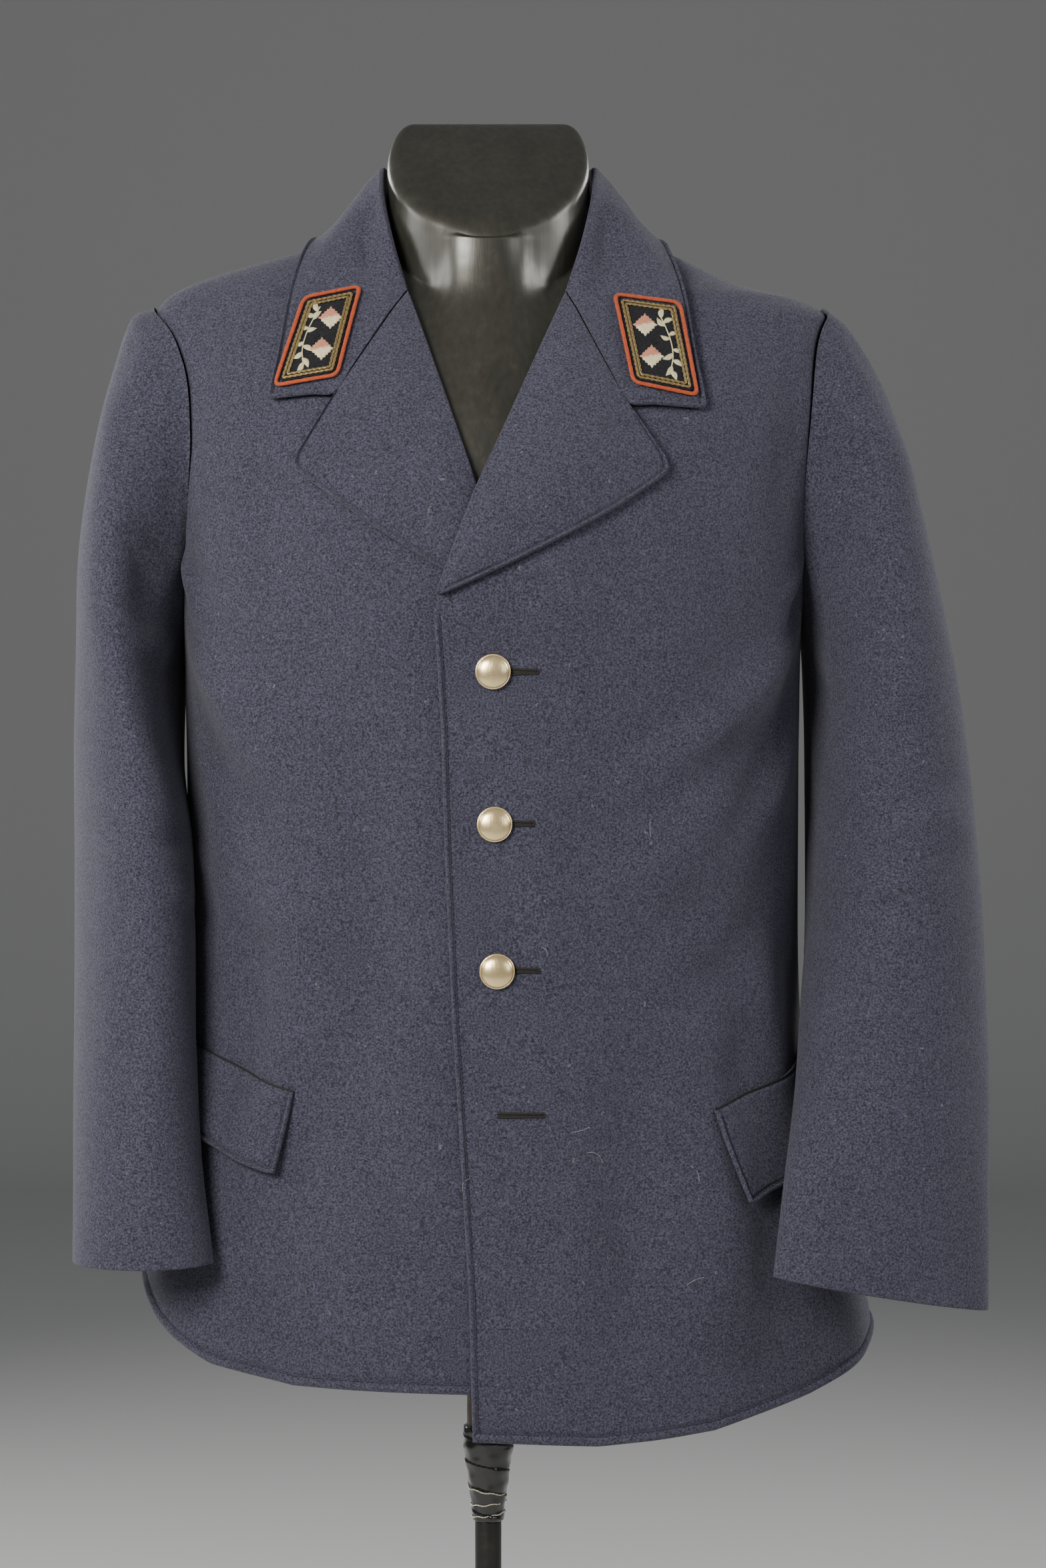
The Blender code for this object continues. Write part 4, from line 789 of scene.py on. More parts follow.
def wall(outside, inside, wrap=False):
    """A cloth wall between two grids of the same size, closed round its rim."""
    rows, columns, _ = outside.shape
    count = rows * columns
    faces = grid_faces(rows, columns, wrap)
    index = np.arange(count).reshape(rows, columns)
    if wrap:
        top, bottom = index[0], index[-1]
        top_next, bottom_next = np.roll(top, -1), np.roll(bottom, -1)
        rim = [np.stack([top_next, top, top + count, top_next + count], axis=-1)]
        rim.append(np.stack([bottom, bottom_next, bottom_next + count, bottom + count], axis=-1))
    else:
        ring = np.concatenate([index[0, :-1], index[:-1, -1], index[-1, :0:-1], index[:0:-1, 0]])
        after = np.roll(ring, -1)
        rim = [np.stack([after, ring, ring + count, after + count], axis=-1)]
    points = np.concatenate([outside.reshape(-1, 3), inside.reshape(-1, 3)])
    return points, np.concatenate([faces, faces[:, ::-1] + count, *rim])


def run_length(points, axis):
    """Distance over the cloth from the first row or column of a grid to each point."""
    step = np.linalg.norm(np.diff(points, axis=axis), axis=-1)
    start = np.zeros_like(np.take(step, [0], axis=axis))
    return np.concatenate([start, np.cumsum(step, axis=axis)], axis=axis)


def read_path(path, run, at):
    """Points of a path at distances along it, by straight steps; run is the distance to each point."""
    return np.stack([np.interp(at, run, column) for column in path.T], axis=-1)


def edge_distance(points, edges):
    """Distance over the cloth to the nearest of the named edges of a grid."""
    down, across = run_length(points, 0), run_length(points, 1)
    away = {"top": down, "bottom": down[-1:] - down, "start": across, "end": across[:, -1:] - across}
    nearest = np.full(points.shape[:-1], FAR)
    for edge in edges:
        nearest = np.minimum(nearest, away[edge])
    return nearest


def groove(away, place):
    """Rise beside a row of stitches: a fuller strip out to the edge, and a groove along the stitches."""
    full = PUFF * np.sin(math.pi * np.clip(away / place, 0, 1))
    return full - GROOVE * np.exp(-(((away - place) / GROOVE_HALF) ** 2))


def edge_thin(away):
    """How far each face of a free edge draws in: a quarter circle over the rounding, then nothing."""
    near = np.clip(away / EDGE_ROUND, 0, 1)
    return CLOTH * EDGE_THIN * (1 - np.sqrt(1 - (1 - near) ** 2))


def seam_dip(away):
    """How far the cloth turns in at a distance from a seam: a bell."""
    return SEAM_DIP * np.exp(-((away / SEAM_SPREAD) ** 2))


def cloth_faces(surface, normals, free, seams, rise):
    """Outside and inside of a piece: free edges round off, seams turn in, and rise moves the outside."""
    seam = seam_dip(edge_distance(surface, seams))
    thin = edge_thin(edge_distance(surface, free))
    outside = surface + normals * (rise - seam - thin)[..., None]
    inside = surface - normals * (CLOTH + seam - thin)[..., None]
    return outside, inside


def tube(path, up, across, tall, sides, closed=False):
    """A tube along a path: rings across * cos + tall * sin, each half size for all, by ring or by point."""
    if closed:
        way = unit(np.roll(path, -1, axis=0) - np.roll(path, 1, axis=0))
    else:
        way = unit(np.gradient(path, axis=0))
    side = unit(np.cross(way, up))
    up = np.cross(side, way)
    angle = np.linspace(0, 2 * math.pi, sides, endpoint=False)
    across, tall = (np.reshape(v, (-1, 1)) if np.ndim(v) < 2 else v for v in (across, tall))
    rings = path[:, None] + side[:, None] * (across * np.cos(angle))[..., None]
    rings = rings + up[:, None] * (tall * np.sin(angle))[..., None]
    if closed:
        return rings, grid_faces(len(path) + 1, sides, True) % (len(path) * sides)
    faces = grid_faces(len(path), sides, True)
    k = np.arange(1, sides - 1)
    first = np.stack([np.zeros_like(k), k, k + 1], axis=-1)
    last = first[:, ::-1] + (len(path) - 1) * sides
    return rings, faces, np.concatenate([first, last])


def closed_rings(rings):
    """Rings of points closed by a point in the middle of both ends."""
    rows, sides, _ = rings.shape
    points = np.concatenate([rings.reshape(-1, 3), [rings[0].mean(axis=0), rings[-1].mean(axis=0)]])
    k = np.arange(sides)
    n = (k + 1) % sides
    last = (rows - 1) * sides
    low = np.stack([np.full(sides, rows * sides), n, k], axis=-1)
    high = np.stack([np.full(sides, rows * sides + 1), k + last, n + last], axis=-1)
    return points, grid_faces(rows, sides, True), np.concatenate([low, high])


def turned(radius, height, sides, axis=(0, 0, 1), place=(0, 0, 0), swell=None):
    """A turned solid: rings of a radius at a height, closed by a point at both ends."""
    axis = unit(np.array(axis, float))
    side = unit(np.cross([0.0, 1.0, 0.3], axis))
    other = np.cross(axis, side)
    angle = np.linspace(0, 2 * math.pi, sides, endpoint=False)
    radius, height = np.asarray(radius, float)[:, None], np.asarray(height, float)[:, None]
    if swell is not None:
        radius = radius + swell(angle[None, :], height)
    flat = side * np.cos(angle)[:, None] + other * np.sin(angle)[:, None]
    return closed_rings(np.array(place) + radius[..., None] * flat + height[..., None] * axis)


def laid_on(surface, normals):
    """Gives a function that puts a plan on a surface seen from the front, moved out by a lift."""
    seen = normals[..., 1] < FRONT_FACING
    base, facing = surface[seen], normals[seen]

    def place(plan, lift):
        """Each plan slides along the planes of its nearest points of the surface, near ones counting most."""
        plan = np.asarray(plan, float)
        flat = plan.reshape(-1, 2)
        low, high = flat.min(axis=0) - NEAR_REACH, flat.max(axis=0) + NEAR_REACH
        near = ((base[:, [0, 2]] > low) & (base[:, [0, 2]] < high)).all(axis=1)
        points, ways = base[near], facing[near]
        away = ((flat[:, None] - points[None, :, [0, 2]]) ** 2).sum(axis=-1)
        chosen = np.argpartition(away, NEAR_POINTS, axis=1)[:, :NEAR_POINTS]
        weight = 1 / (np.take_along_axis(away, chosen, 1) + NEAR_SOFT)
        weight = weight / weight.sum(axis=1, keepdims=True)
        p, n = points[chosen], ways[chosen]
        dx, dz = flat[:, None, 0] - p[..., 0], flat[:, None, 1] - p[..., 2]
        y = ((p[..., 1] - (n[..., 0] * dx + n[..., 2] * dz) / n[..., 1]) * weight).sum(axis=1)
        normal = unit((n * weight[..., None]).sum(axis=1))
        point = np.stack([flat[:, 0], y, flat[:, 1]], axis=-1) + normal * np.asarray(lift).reshape(-1, 1)
        return point.reshape(*plan.shape[:-1], 3), normal.reshape(*plan.shape[:-1], 3)

    return place


def round_corner(points, radius, at_end):
    """Rounds a grid's corner at its last column: a square of points is drawn in to a quarter circle."""
    grid = points[::-1] if at_end else points
    near_end, near_side = run_length(grid, 0), run_length(grid[:, ::-1], 1)[:, ::-1]
    u, v = np.clip(1 - near_end / radius, 0, 1), np.clip(1 - near_side / radius, 0, 1)
    inward = unit(np.gradient(grid, axis=0))
    across = -unit(np.gradient(grid, axis=1))
    move = inward * (u - u * np.sqrt(1 - v**2 / 2))[..., None]
    move = move + across * (v - v * np.sqrt(1 - u**2 / 2))[..., None]
    grid = grid + move * radius
    return grid[::-1] if at_end else grid


def line_inside(points, away, place):
    """Where each row of a grid is a distance in from its edge, by straight steps between columns."""
    column = np.clip((away < place).sum(axis=1), 1, away.shape[1] - 1)
    row = np.arange(len(points))
    before, after = away[row, column - 1], away[row, column]
    share = np.clip((place - before) / np.maximum(after - before, 1e-9), 0, 1)[:, None]
    return points[row, column - 1] * (1 - share) + points[row, column] * share


def stitches(path, up):
    """A row of stitches: short rods with bowed backs and tapered ends, evenly spaced along a path."""
    run = run_length(path, 0)
    count = int(run[-1] / STITCH_PITCH)
    middle = (np.arange(count) + 0.5) * run[-1] / count
    centre = read_path(path, run, middle)
    reach = STITCH_PITCH / 3
    way = unit(read_path(path, run, middle + reach) - read_path(path, run, middle - reach))
    up = unit(read_path(up, run, middle))
    side = np.cross(way, up)
    rings = sides = 4
    t = np.linspace(-1, 1, rings)[:, None]
    angle = np.linspace(0, 2 * math.pi, sides, endpoint=False)[None, :] + STITCH_ROLL
    size = STITCH_HALF * np.sqrt(1 - STITCH_TAPER * t**2)
    back = size * np.sin(angle) + STITCH_HALF * STITCH_BOW * (1 - t**2)
    local = np.stack([t * STITCH_LONG / 2 + 0 * angle, size * np.cos(angle), back], axis=-1)
    axes = np.stack([way, side, up], axis=1)
    points = centre[:, None, None] + local @ axes[:, None]
    caps = np.array([[0, 1, 2, 3], [15, 14, 13, 12]])
    faces = np.concatenate([grid_faces(rings, sides, True), caps])
    faces = faces[None] + np.arange(count)[:, None, None] * rings * sides
    return points, faces.reshape(-1, 4)


# Finishes


def new_material(name, colour, roughness, **sockets):
    """A Principled material; the values that are the same all over are set on its own sockets."""
    material = bpy.data.materials.new(name)
    material.use_nodes = True
    shader = material.node_tree.nodes["Principled BSDF"]
    shader.inputs["Base Color"].default_value = (*colour, 1)
    shader.inputs["Roughness"].default_value = roughness
    for socket, value in sockets.items():
        shader.inputs[socket.replace("_", " ")].default_value = value
    return material, material.node_tree, shader


def add_node(tree, kind, **values):
    """A node with some of its inputs or settings given by name."""
    node = tree.nodes.new(kind)
    for name, value in values.items():
        if hasattr(node, name):
            setattr(node, name, value)
        else:
            node.inputs[name.replace("_", " ")].default_value = value
    return node


def new_group(name, inputs, outputs):
    """A node group with named inputs (name, kind, default) and outputs (name, kind)."""
    group = bpy.data.node_groups.new(name, "ShaderNodeTree")
    for label, kind, value in inputs:
        group.interface.new_socket(label, in_out="INPUT", socket_type=kind).default_value = value
    for label, kind in outputs:
        group.interface.new_socket(label, in_out="OUTPUT", socket_type=kind)
    return group, group.nodes.new("NodeGroupInput"), group.nodes.new("NodeGroupOutput")


def noise_at(tree, source, scale, detail, stretch=(1, 1, 1), turn=(0, 0, 0), rough=0.6):
    """Noise of a scale on coordinates, after they are turned and stretched."""
    mapping = add_node(tree, "ShaderNodeMapping")
    mapping.inputs["Scale"].default_value = stretch
    mapping.inputs["Rotation"].default_value = turn
    noise = add_node(tree, "ShaderNodeTexNoise", Scale=scale, Detail=detail, Roughness=rough)
    tree.links.new(source, mapping.inputs["Vector"])
    tree.links.new(mapping.outputs["Vector"], noise.inputs["Vector"])
    return noise.outputs["Fac"]


def ramp(tree, source, stops):
    """A colour ramp: places and colours, read by a value."""
    node = add_node(tree, "ShaderNodeValToRGB")
    elements = node.color_ramp.elements
    while len(elements) < len(stops):
        elements.new(0.5)
    for element, (place, colour) in zip(elements, stops):
        element.position = place
        element.color = (*colour, 1) if len(colour) == 3 else (colour[0], colour[0], colour[0], 1)
    tree.links.new(source, node.inputs["Fac"])
    return node.outputs["Color"]


def feed(tree, sockets, values):
    """Each socket gets its number, its colour or a link from its output."""
    for socket, value in zip(sockets, values):
        if isinstance(value, (int, float)):
            socket.default_value = value
        elif isinstance(value, tuple):
            socket.default_value = (*value, 1)
        else:
            tree.links.new(value, socket)


def calculate(tree, kind, *values):
    """A Math node on numbers or outputs."""
    node = add_node(tree, "ShaderNodeMath", operation=kind)
    feed(tree, node.inputs, values)
    return node.outputs["Value"]


def mix(tree, kind, factor, first, second):
    """A colour mix; factor and colours are values or outputs."""
    node = add_node(tree, "ShaderNodeMix", data_type="RGBA", blend_type=kind)
    feed(tree, (node.inputs[0], node.inputs[6], node.inputs[7]), (factor, first, second))
    return node.outputs[2]


def bump_on(tree, shader, height, strength, distance):
    """A Bump node from a height to the shader's normal."""
    node = add_node(tree, "ShaderNodeBump", Strength=strength, Distance=distance)
    tree.links.new(height, node.inputs["Height"])
    tree.links.new(node.outputs["Normal"], shader.inputs["Normal"])


def make_nap_group():
    """Felted wool: mottled yarns, short crossing fibres and sparse pale lint; gives a colour and a height."""
    inputs = [
        ("Dark", "NodeSocketColor", (0, 0, 0, 1)),
        ("Light", "NodeSocketColor", (1, 1, 1, 1)),
        ("Lint", "NodeSocketFloat", 1.0),
    ]
    outputs = [("Color", "NodeSocketColor"), ("Height", "NodeSocketFloat")]
    group, source, result = new_group("wool_nap", inputs, outputs)
    place = add_node(group, "ShaderNodeTexCoord").outputs["Object"]
    mottle = noise_at(group, place, 820, 2)
    cloud = noise_at(group, place, 26, 3)
    fibres = [
        noise_at(group, place, 480, 2, (5.5, 1, 1), (0.3, 0.5, 0.5)),
        noise_at(group, place, 480, 2, (1, 1, 5.0), (0.2, -0.6, 0.9)),
        noise_at(group, place, 520, 2, (1, 5.0, 4.5), (0.8, 0.9, 0.2)),
    ]
    crossing = calculate(group, "MAXIMUM", calculate(group, "MAXIMUM", fibres[0], fibres[1]), fibres[2])
    tone = calculate(group, "MULTIPLY_ADD", mottle, 0.9, -0.20)
    tone = calculate(group, "ADD", tone, calculate(group, "MULTIPLY", crossing, 0.35))
    tone = calculate(group, "ADD", tone, calculate(group, "MULTIPLY", cloud, 0.06))
    heather = ramp(group, tone, [(0.33, (0.0,)), (0.66, (1.0,))])
    colour = mix(group, "MIX", heather, source.outputs["Dark"], source.outputs["Light"])
    speck = noise_at(group, place, 190, 2, (1, 3.2, 1), (0.7, 0.2, 1.1))
    lint = ramp(group, speck, [(0.705, (0.0,)), (0.77, (0.34,))])
    amount = calculate(group, "MULTIPLY", lint, source.outputs["Lint"])
    colour = mix(group, "MIX", amount, colour, (0.30, 0.30, 0.30))
    grit = calculate(group, "MULTIPLY", mottle, 0.6)
    height = calculate(group, "ADD", grit, calculate(group, "MULTIPLY", crossing, 0.5))
    group.links.new(colour, result.inputs["Color"])
    group.links.new(height, result.inputs["Height"])
    return group


def make_grain_group():
    """Long brushed streaks and small scuffs; gives two masks and a height."""
    inputs = [("Fine", "NodeSocketFloat", 90.0)]
    outputs = [("Streaks", "NodeSocketFloat"), ("Scuffs", "NodeSocketFloat"), ("Height", "NodeSocketFloat")]
    group, source, result = new_group("brushed_grain", inputs, outputs)
    place = add_node(group, "ShaderNodeTexCoord").outputs["Object"]
    wide = noise_at(group, place, 30, 3, (1, 1, 0.10))
    streak = noise_at(group, place, 90, 3, (1, 1, 0.045))
    group.links.new(source.outputs["Fine"], group.nodes[-1].inputs["Scale"])
    half_wide = calculate(group, "MULTIPLY", wide, 0.5)
    streaks = calculate(group, "ADD", half_wide, calculate(group, "MULTIPLY", streak, 0.5))
    scuff = noise_at(group, place, 60, 5, rough=0.7)
    scuffs = ramp(group, scuff, [(0.50, (0.0,)), (0.72, (1.0,))])
    group.links.new(streaks, result.inputs["Streaks"])
    group.links.new(scuffs, result.inputs["Scuffs"])
    height = calculate(group, "ADD", streak, calculate(group, "MULTIPLY", scuff, 0.4))
    group.links.new(height, result.inputs["Height"])
    return group


def napped(name, dark, light, lint, strength, **sockets):
    """A felted cloth in a dark and a light tone."""
    material, tree, shader = new_material(name, dark, 0.94, **sockets)
    colours = {"Dark": (*dark, 1), "Light": (*light, 1)}
    node = add_node(tree, "ShaderNodeGroup", node_tree=nap, Lint=lint, **colours)
    tree.links.new(node.outputs["Color"], shader.inputs["Base Color"])
    bump_on(tree, shader, node.outputs["Height"], strength, 0.0006)
    return material


def brushed(name, dark, light, smooth, rough, fine, strength, **sockets):
    """A hard finish with streaks in its colour and its gloss."""
    material, tree, shader = new_material(name, dark, rough, **sockets)
    node = add_node(tree, "ShaderNodeGroup", node_tree=grain, Fine=fine)
    colour = mix(tree, "MIX", node.outputs["Streaks"], dark, light)
    tree.links.new(colour, shader.inputs["Base Color"])
    gloss = ramp(tree, node.outputs["Scuffs"], [(0.0, (smooth,)), (1.0, (rough,))])
    tree.links.new(gloss, shader.inputs["Roughness"])
    bump_on(tree, shader, node.outputs["Height"], strength, 0.0004)
    return material


def threaded(name, dark, light, scale, roughness, **sockets):
    """Thread or cord: fine uneven strands, with painted shade darker between them where the bump sinks."""
    material, tree, shader = new_material(name, dark, roughness, **sockets)
    place = add_node(tree, "ShaderNodeTexCoord").outputs["Object"]
    strands = noise_at(tree, place, scale, 3, turn=(0.4, 0.7, 0.2), rough=0.7)
    # Painted shade: the colour runs from the dark tone where the strands sink to the light tone on them
    colour = ramp(tree, strands, [(0.30, dark), (0.66, light)])
    tree.links.new(colour, shader.inputs["Base Color"])
    bump_on(tree, shader, strands, 0.5, 0.0003)
    return material


def tinted(name, low, high, scale):
    """Silk of the pips: its upper half turns to another tone by the piece's own attribute, and painted shade
    darkens it between the strands.
    """
    material, tree, shader = new_material(name, low, 0.55, Sheen_Weight=0.3)
    place = add_node(tree, "ShaderNodeTexCoord").outputs["Object"]
    strands = noise_at(tree, place, scale, 3)
    part = add_node(tree, "ShaderNodeAttribute", attribute_name="upper").outputs["Fac"]
    colour = mix(tree, "MIX", part, low, high)
    # Painted shade: the tone is multiplied down where the strands sink
    shade = ramp(tree, strands, [(0.30, (0.55,)), (0.60, (1.0,))])
    tree.links.new(mix(tree, "MULTIPLY", 1.0, colour, shade), shader.inputs["Base Color"])
    bump_on(tree, shader, strands, 0.5, 0.0003)
    return material


nap = make_nap_group()
grain = make_grain_group()
# Napped cloth: name, dark and light tone, lint, strength of the nap
wool_look = ("navy_wool", (0.0078, 0.0075, 0.0175), (0.083, 0.080, 0.121), 1.0, 0.8)
wool = napped(*wool_look, Sheen_Weight=0.08, Sheen_Roughness=0.6)
felt = napped("black_felt", (0.002, 0.002, 0.003), (0.014, 0.014, 0.018), 0.3, 0.5)

# Thread and cord: name, painted shade between the strands and tone on them, fineness, roughness
thread = threaded("navy_thread", (0.016, 0.017, 0.028), (0.060, 0.062, 0.090), 900, 0.8)
# Dark brown thread for the buttonholes' purl; the same material also makes the painted shade in their slits
# and the painted shadow lines along the flaps' top seams
dark_thread_and_shade = threaded("brown_thread_and_shade", (0.002, 0.0016, 0.001), (0.020, 0.015, 0.009), 1400, 0.7)
orange = threaded("orange_cord", (0.32, 0.038, 0.008), (0.52, 0.085, 0.020), 900, 0.8, Sheen_Weight=0.1)
gilt = threaded("gilt_rope", (0.050, 0.034, 0.010), (0.40, 0.29, 0.12), 1500, 0.42, Metallic=0.35)
leaf_silk = threaded("leaf_silk", (0.42, 0.36, 0.16), (0.86, 0.80, 0.50), 1300, 0.5, Metallic=0.15)
lint_hair = threaded("lint_hair", (0.45, 0.43, 0.38), (0.70, 0.68, 0.62), 600, 0.7)
string = threaded("cream_string", (0.42, 0.36, 0.24), (0.80, 0.74, 0.58), 900, 0.85)
pip_silk = tinted("pip_silk", (0.88, 0.76, 0.46), (0.66, 0.26, 0.15), 1200)

# Hard finishes: name, dark and light tone, least and most roughness, fineness and strength of the streaks
brass_look = ("pale_brass", (1.0, 0.70, 0.32), (1.0, 0.86, 0.52), 0.27, 0.40, 900.0, 0.25)
brass = brushed(*brass_look, Metallic=0.82)
shell_look = ("charcoal_shell", (0.018, 0.017, 0.013), (0.098, 0.093, 0.072), 0.33, 0.48, 240.0, 0.35)
shell = brushed(*shell_look, Metallic=0.5, Coat_Weight=0.6, Coat_Roughness=0.26)
rod_look = ("brown_rod", (0.030, 0.017, 0.009), (0.110, 0.066, 0.034), 0.35, 0.60, 160.0, 0.3)
rod_finish = brushed(*rod_look)
tape_look = ("black_tape", (0.004, 0.004, 0.004), (0.020, 0.018, 0.016), 0.08, 0.25, 60.0, 0.35)
tape = brushed(*tape_look, Coat_Weight=0.5)
pole_look = ("grey_pole", (0.022, 0.022, 0.020), (0.060, 0.058, 0.052), 0.30, 0.48, 200.0, 0.15)
pole_finish = brushed(*pole_look, Metallic=0.6)
base_look = ("black_base", (0.012, 0.012, 0.012), (0.034, 0.034, 0.036), 0.38, 0.60, 120.0, 0.3)
base_finish = brushed(*base_look)


# Tunic's body


def armhole_half(z, half):
    """Half the armhole's width at a height: an ellipse from the underarm to the shoulder tip."""
    return half * np.sqrt(np.clip(1 - ((z - ARMHOLE_MIDDLE_Z) / ARMHOLE_REACH) ** 2, 0, 1))


def panel_rows():
    """Heights of the panels' rows: worked steps at the hem, closer at both ends of the armhole."""
    length = UNDERARM_Z - FLAT_HEM_Z
    skirt = FLAT_HEM_Z + length * spread(length, PITCH, start=True)[:-1]
    armhole = ARMHOLE_MIDDLE_Z - ARMHOLE_REACH * np.cos(np.linspace(0, math.pi, ARMHOLE_ROWS))
    shoulder = np.linspace(SHOULDER_TIP_Z, NECK_Z, SHOULDER_ROWS + 1)[1:]
    return np.concatenate([skirt, armhole, shoulder])


def drop_to_hem(z, hem):
    """Rows below the blend height are spread evenly down to the hem."""
    share = (HEM_BLEND_Z - z) / (HEM_BLEND_Z - FLAT_HEM_Z)
    return np.where(z < HEM_BLEND_Z, HEM_BLEND_Z - share * (HEM_BLEND_Z - hem), z)


def front_surface(side, edge, hem, lift_of):
    """Outside of a front from its edge or roll line to the side seam, armhole and shoulder seam."""
    level = panel_rows()[:, None]
    across = spread(FRONT_RUN, PITCH, start=True)[None, :]

    def turn_across(z):
        """Turn at each share of the way from the edge to the seam or the armhole."""
        rim = SEAM_GAP / 2 + armhole_half(z, ARMHOLE_FRONT[side])
        turn_in = turn_at_x(read_line(edge, z), z)
        return turn_in + (side * turn_at_y(rim, z) - turn_in) * across

    turn = turn_across(level)
    z = drop_to_hem(np.broadcast_to(level, turn.shape), read_line(hem, turn))
    turn = turn_across(z)
    points, normals = body_point(turn, z), body_normal(turn, z)
    points = points + normals * lift_of(points[..., 0], z)[..., None]
    return points, normals


def back_surface():
    """Outside of the back from side seam to side seam."""
    level = panel_rows()[:, None]
    across = np.linspace(0, 1, BACK_COLUMNS)[None, :]
    first = 180 - turn_at_y(SEAM_GAP / 2 + armhole_half(level, ARMHOLE_BACK), level, back=True)
    turn = first + (360 - 2 * first) * across
    z = drop_to_hem(np.broadcast_to(level, turn.shape), read_line(HEM_BACK, turn))
    return body_point(turn, z), body_normal(turn, z)


def add_cloth(name, outside, inside, wrap=False):
    """A wool piece between its two faces, in the place of the node of its name."""
    piece = add_piece(name + "_cloth", [wall(outside, inside, wrap)], wool)
    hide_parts(name)
    return piece


def sew(name, lines):
    """Stitches along some lines, each a path and its directions outward."""
    return add_piece(name, [stitches(*line) for line in lines], thread)


def make_panels():
    """The two fronts and the back, each with its hem's and edge's groove; gives them and what to sew."""
    made, sewn = {}, []
    for name, surface in (
        ("front_over", front_surface(1, OVER_EDGE, HEM_OVER, over_lift)),
        ("front_under", front_surface(-1, UNDER_EDGE, HEM_UNDER, no_lift)),
        ("back", back_surface()),
    ):
        points, normals = surface
        up = run_length(points, 0)
        rise = groove(up, HEM_STITCH)
        sewn.append((line_inside(points.swapaxes(0, 1), up.T, HEM_STITCH), normals[HEM_ROW]))
        if name == "front_over":
            across = run_length(points, 1)
            low = ease(*EDGE_STITCH_Z, points[..., 2])
            rise = rise + groove(across, EDGE_STITCH) * low * ease(*CORNER_CLEAR, up)
            below = points[:, 0, 2] < EDGE_STITCH_Z[0]
            line = line_inside(points, across, EDGE_STITCH)
            sewn.append((line[below], normals[below, EDGE_COLUMN]))
        seams = ("start", "end", "bottom") if name == "back" else ("end", "bottom")
        free = ("top",) if name == "back" else ("top", "start")
        outside, inside = cloth_faces(points, normals, free, seams, rise)
        made[name] = (add_cloth(name, outside, inside), outside, normals)
    return made, sewn


# Sleeves


def armhole_point(side, around):
    """The armhole's line on the body: 0 at the shoulder tip, 90 at the front, 180 at the underarm."""
    z = ARMHOLE_MIDDLE_Z + ARMHOLE_REACH * np.cos(around)
    ahead = np.sin(around) > 0
    y = np.abs(np.sin(around)) * np.where(ahead, ARMHOLE_FRONT[side], ARMHOLE_BACK)
    turn = np.where(ahead, turn_at_y(y, z), 180 - turn_at_y(y, z, back=True))
    point = body_point(side * turn, z)
    point[:, 0] += side * ARMHOLE_GAP
    return point


def push_off_body(points, clear):
    """Moves points that are nearer to the body's axis than its outside plus the clearance out to it."""
    left, right, front, back, power = np.moveaxis(smooth_table(BODY_RINGS, points[..., 2]), -1, 0)
    turn = np.degrees(np.arctan2(points[..., 0], -points[..., 1]))
    clear = clear + np.maximum(fold_depth(turn, points[..., 2]), 0)
    half = np.where(points[..., 0] < 0, left, right) + clear
    depth = np.where(points[..., 1] < 0, front, back) + clear
    ratio = (np.abs(points[..., 0] / half) ** power + np.abs(points[..., 1] / depth) ** power) ** (1 / power)
    pushed = points.copy()
    pushed[..., :2] /= np.minimum(ratio, 1)[..., None]
    return pushed


def make_sleeve(name, side, table, creases):
    """A sleeve: oval rings set by their outer, inner, front and back points, moved by its creases."""
    line = 1 - CUFF_LINE / SLEEVE_LENGTH
    share = spread(SLEEVE_LENGTH, PITCH, start=True, end=True, fine_at=(line * SLEEVE_LENGTH,))[:, None]
    around = np.linspace(0, 2 * math.pi, SLEEVE_AROUND, endpoint=False)[None, :]
    out_x, out_z, in_x, in_z, front, back, skew, swing = np.moveaxis(smooth_table(table, share), -1, 0)
    outward, ahead = np.cos(around), np.sin(around)
    x = (out_x + in_x) / 2 + (out_x - in_x) / 2 * outward + skew / 2 * ahead
    y = (front + back) / 2 + (front - back) / 2 * ahead + swing / 2 * outward
    z = (out_z + in_z) / 2 + (out_z - in_z) / 2 * outward
    rings = np.stack([side * x, y, z], axis=-1)
    start = armhole_point(side, around[0])
    match = (1 - ease(0, SLEEVE_MATCH, share))[..., None]
    rings = rings + (start - rings[0])[None] * match
    normals = grid_normals(rings, wrap=True) * -side
    degrees = np.degrees(around)
    scale = (SLEEVE_LENGTH, math.radians(SLEEVE_RADIUS))
    once_round = [[a, b + 360, c, d + 360, *rest] for a, b, c, d, *rest in creases]
    depth = line_rise(share, degrees, creases, scale) + line_rise(share, degrees, once_round, scale)
    held = ease(0, SLEEVE_EASE, share)
    depth = depth + SLEEVE_WAVE * np.sin(3 * around + 9 * share) * held
    rings = rings + normals * depth[..., None]
    clear = ARM_CLEAR + (CUFF_CLEAR - ARM_CLEAR) * ease(*CUFF_CLEAR_Z, rings[..., 2])
    rings = rings + (push_off_body(rings, clear) - rings) * held[..., None]
    normals = grid_normals(rings, wrap=True) * -side
    up = run_length(rings, 0)
    up = up[-1:] - up
    place = (1 - line) * up[0:1]
    press = GROOVE * CUFF_LINE_PRESS * np.exp(-(((up - place) / GROOVE_HALF) ** 2))
    rise = groove(up, HEM_STITCH) * CUFF_EDGE_PRESS - press
    outside, inside = cloth_faces(rings, normals, ("bottom",), ("top",), rise)
    piece = add_cloth(name, outside, inside, wrap=True)
    row = int(np.argmin(np.abs(share[:, 0] - line)))
    ring = np.concatenate([rings[row], rings[row, :1]])
    facing = np.concatenate([normals[row], normals[row, :1]])
    return piece, (ring, facing)


# Lapels and flaps


def rounded_corner(start, corner, end, radius, steps):
    """Points from start to end round a corner: straight, a quadratic arc, straight."""
    before = corner + unit(start - corner) * radius
    after = corner + unit(end - corner) * radius
    upper, middle, lower = (np.linspace(0, 1, n + 1)[:, None] for n in steps)
    curve = (1 - middle) ** 2 * before + 2 * middle * (1 - middle) * corner + middle**2 * after
    return np.vstack([start + (before - start) * upper, curve[1:], after + (end - after) * lower[1:]])


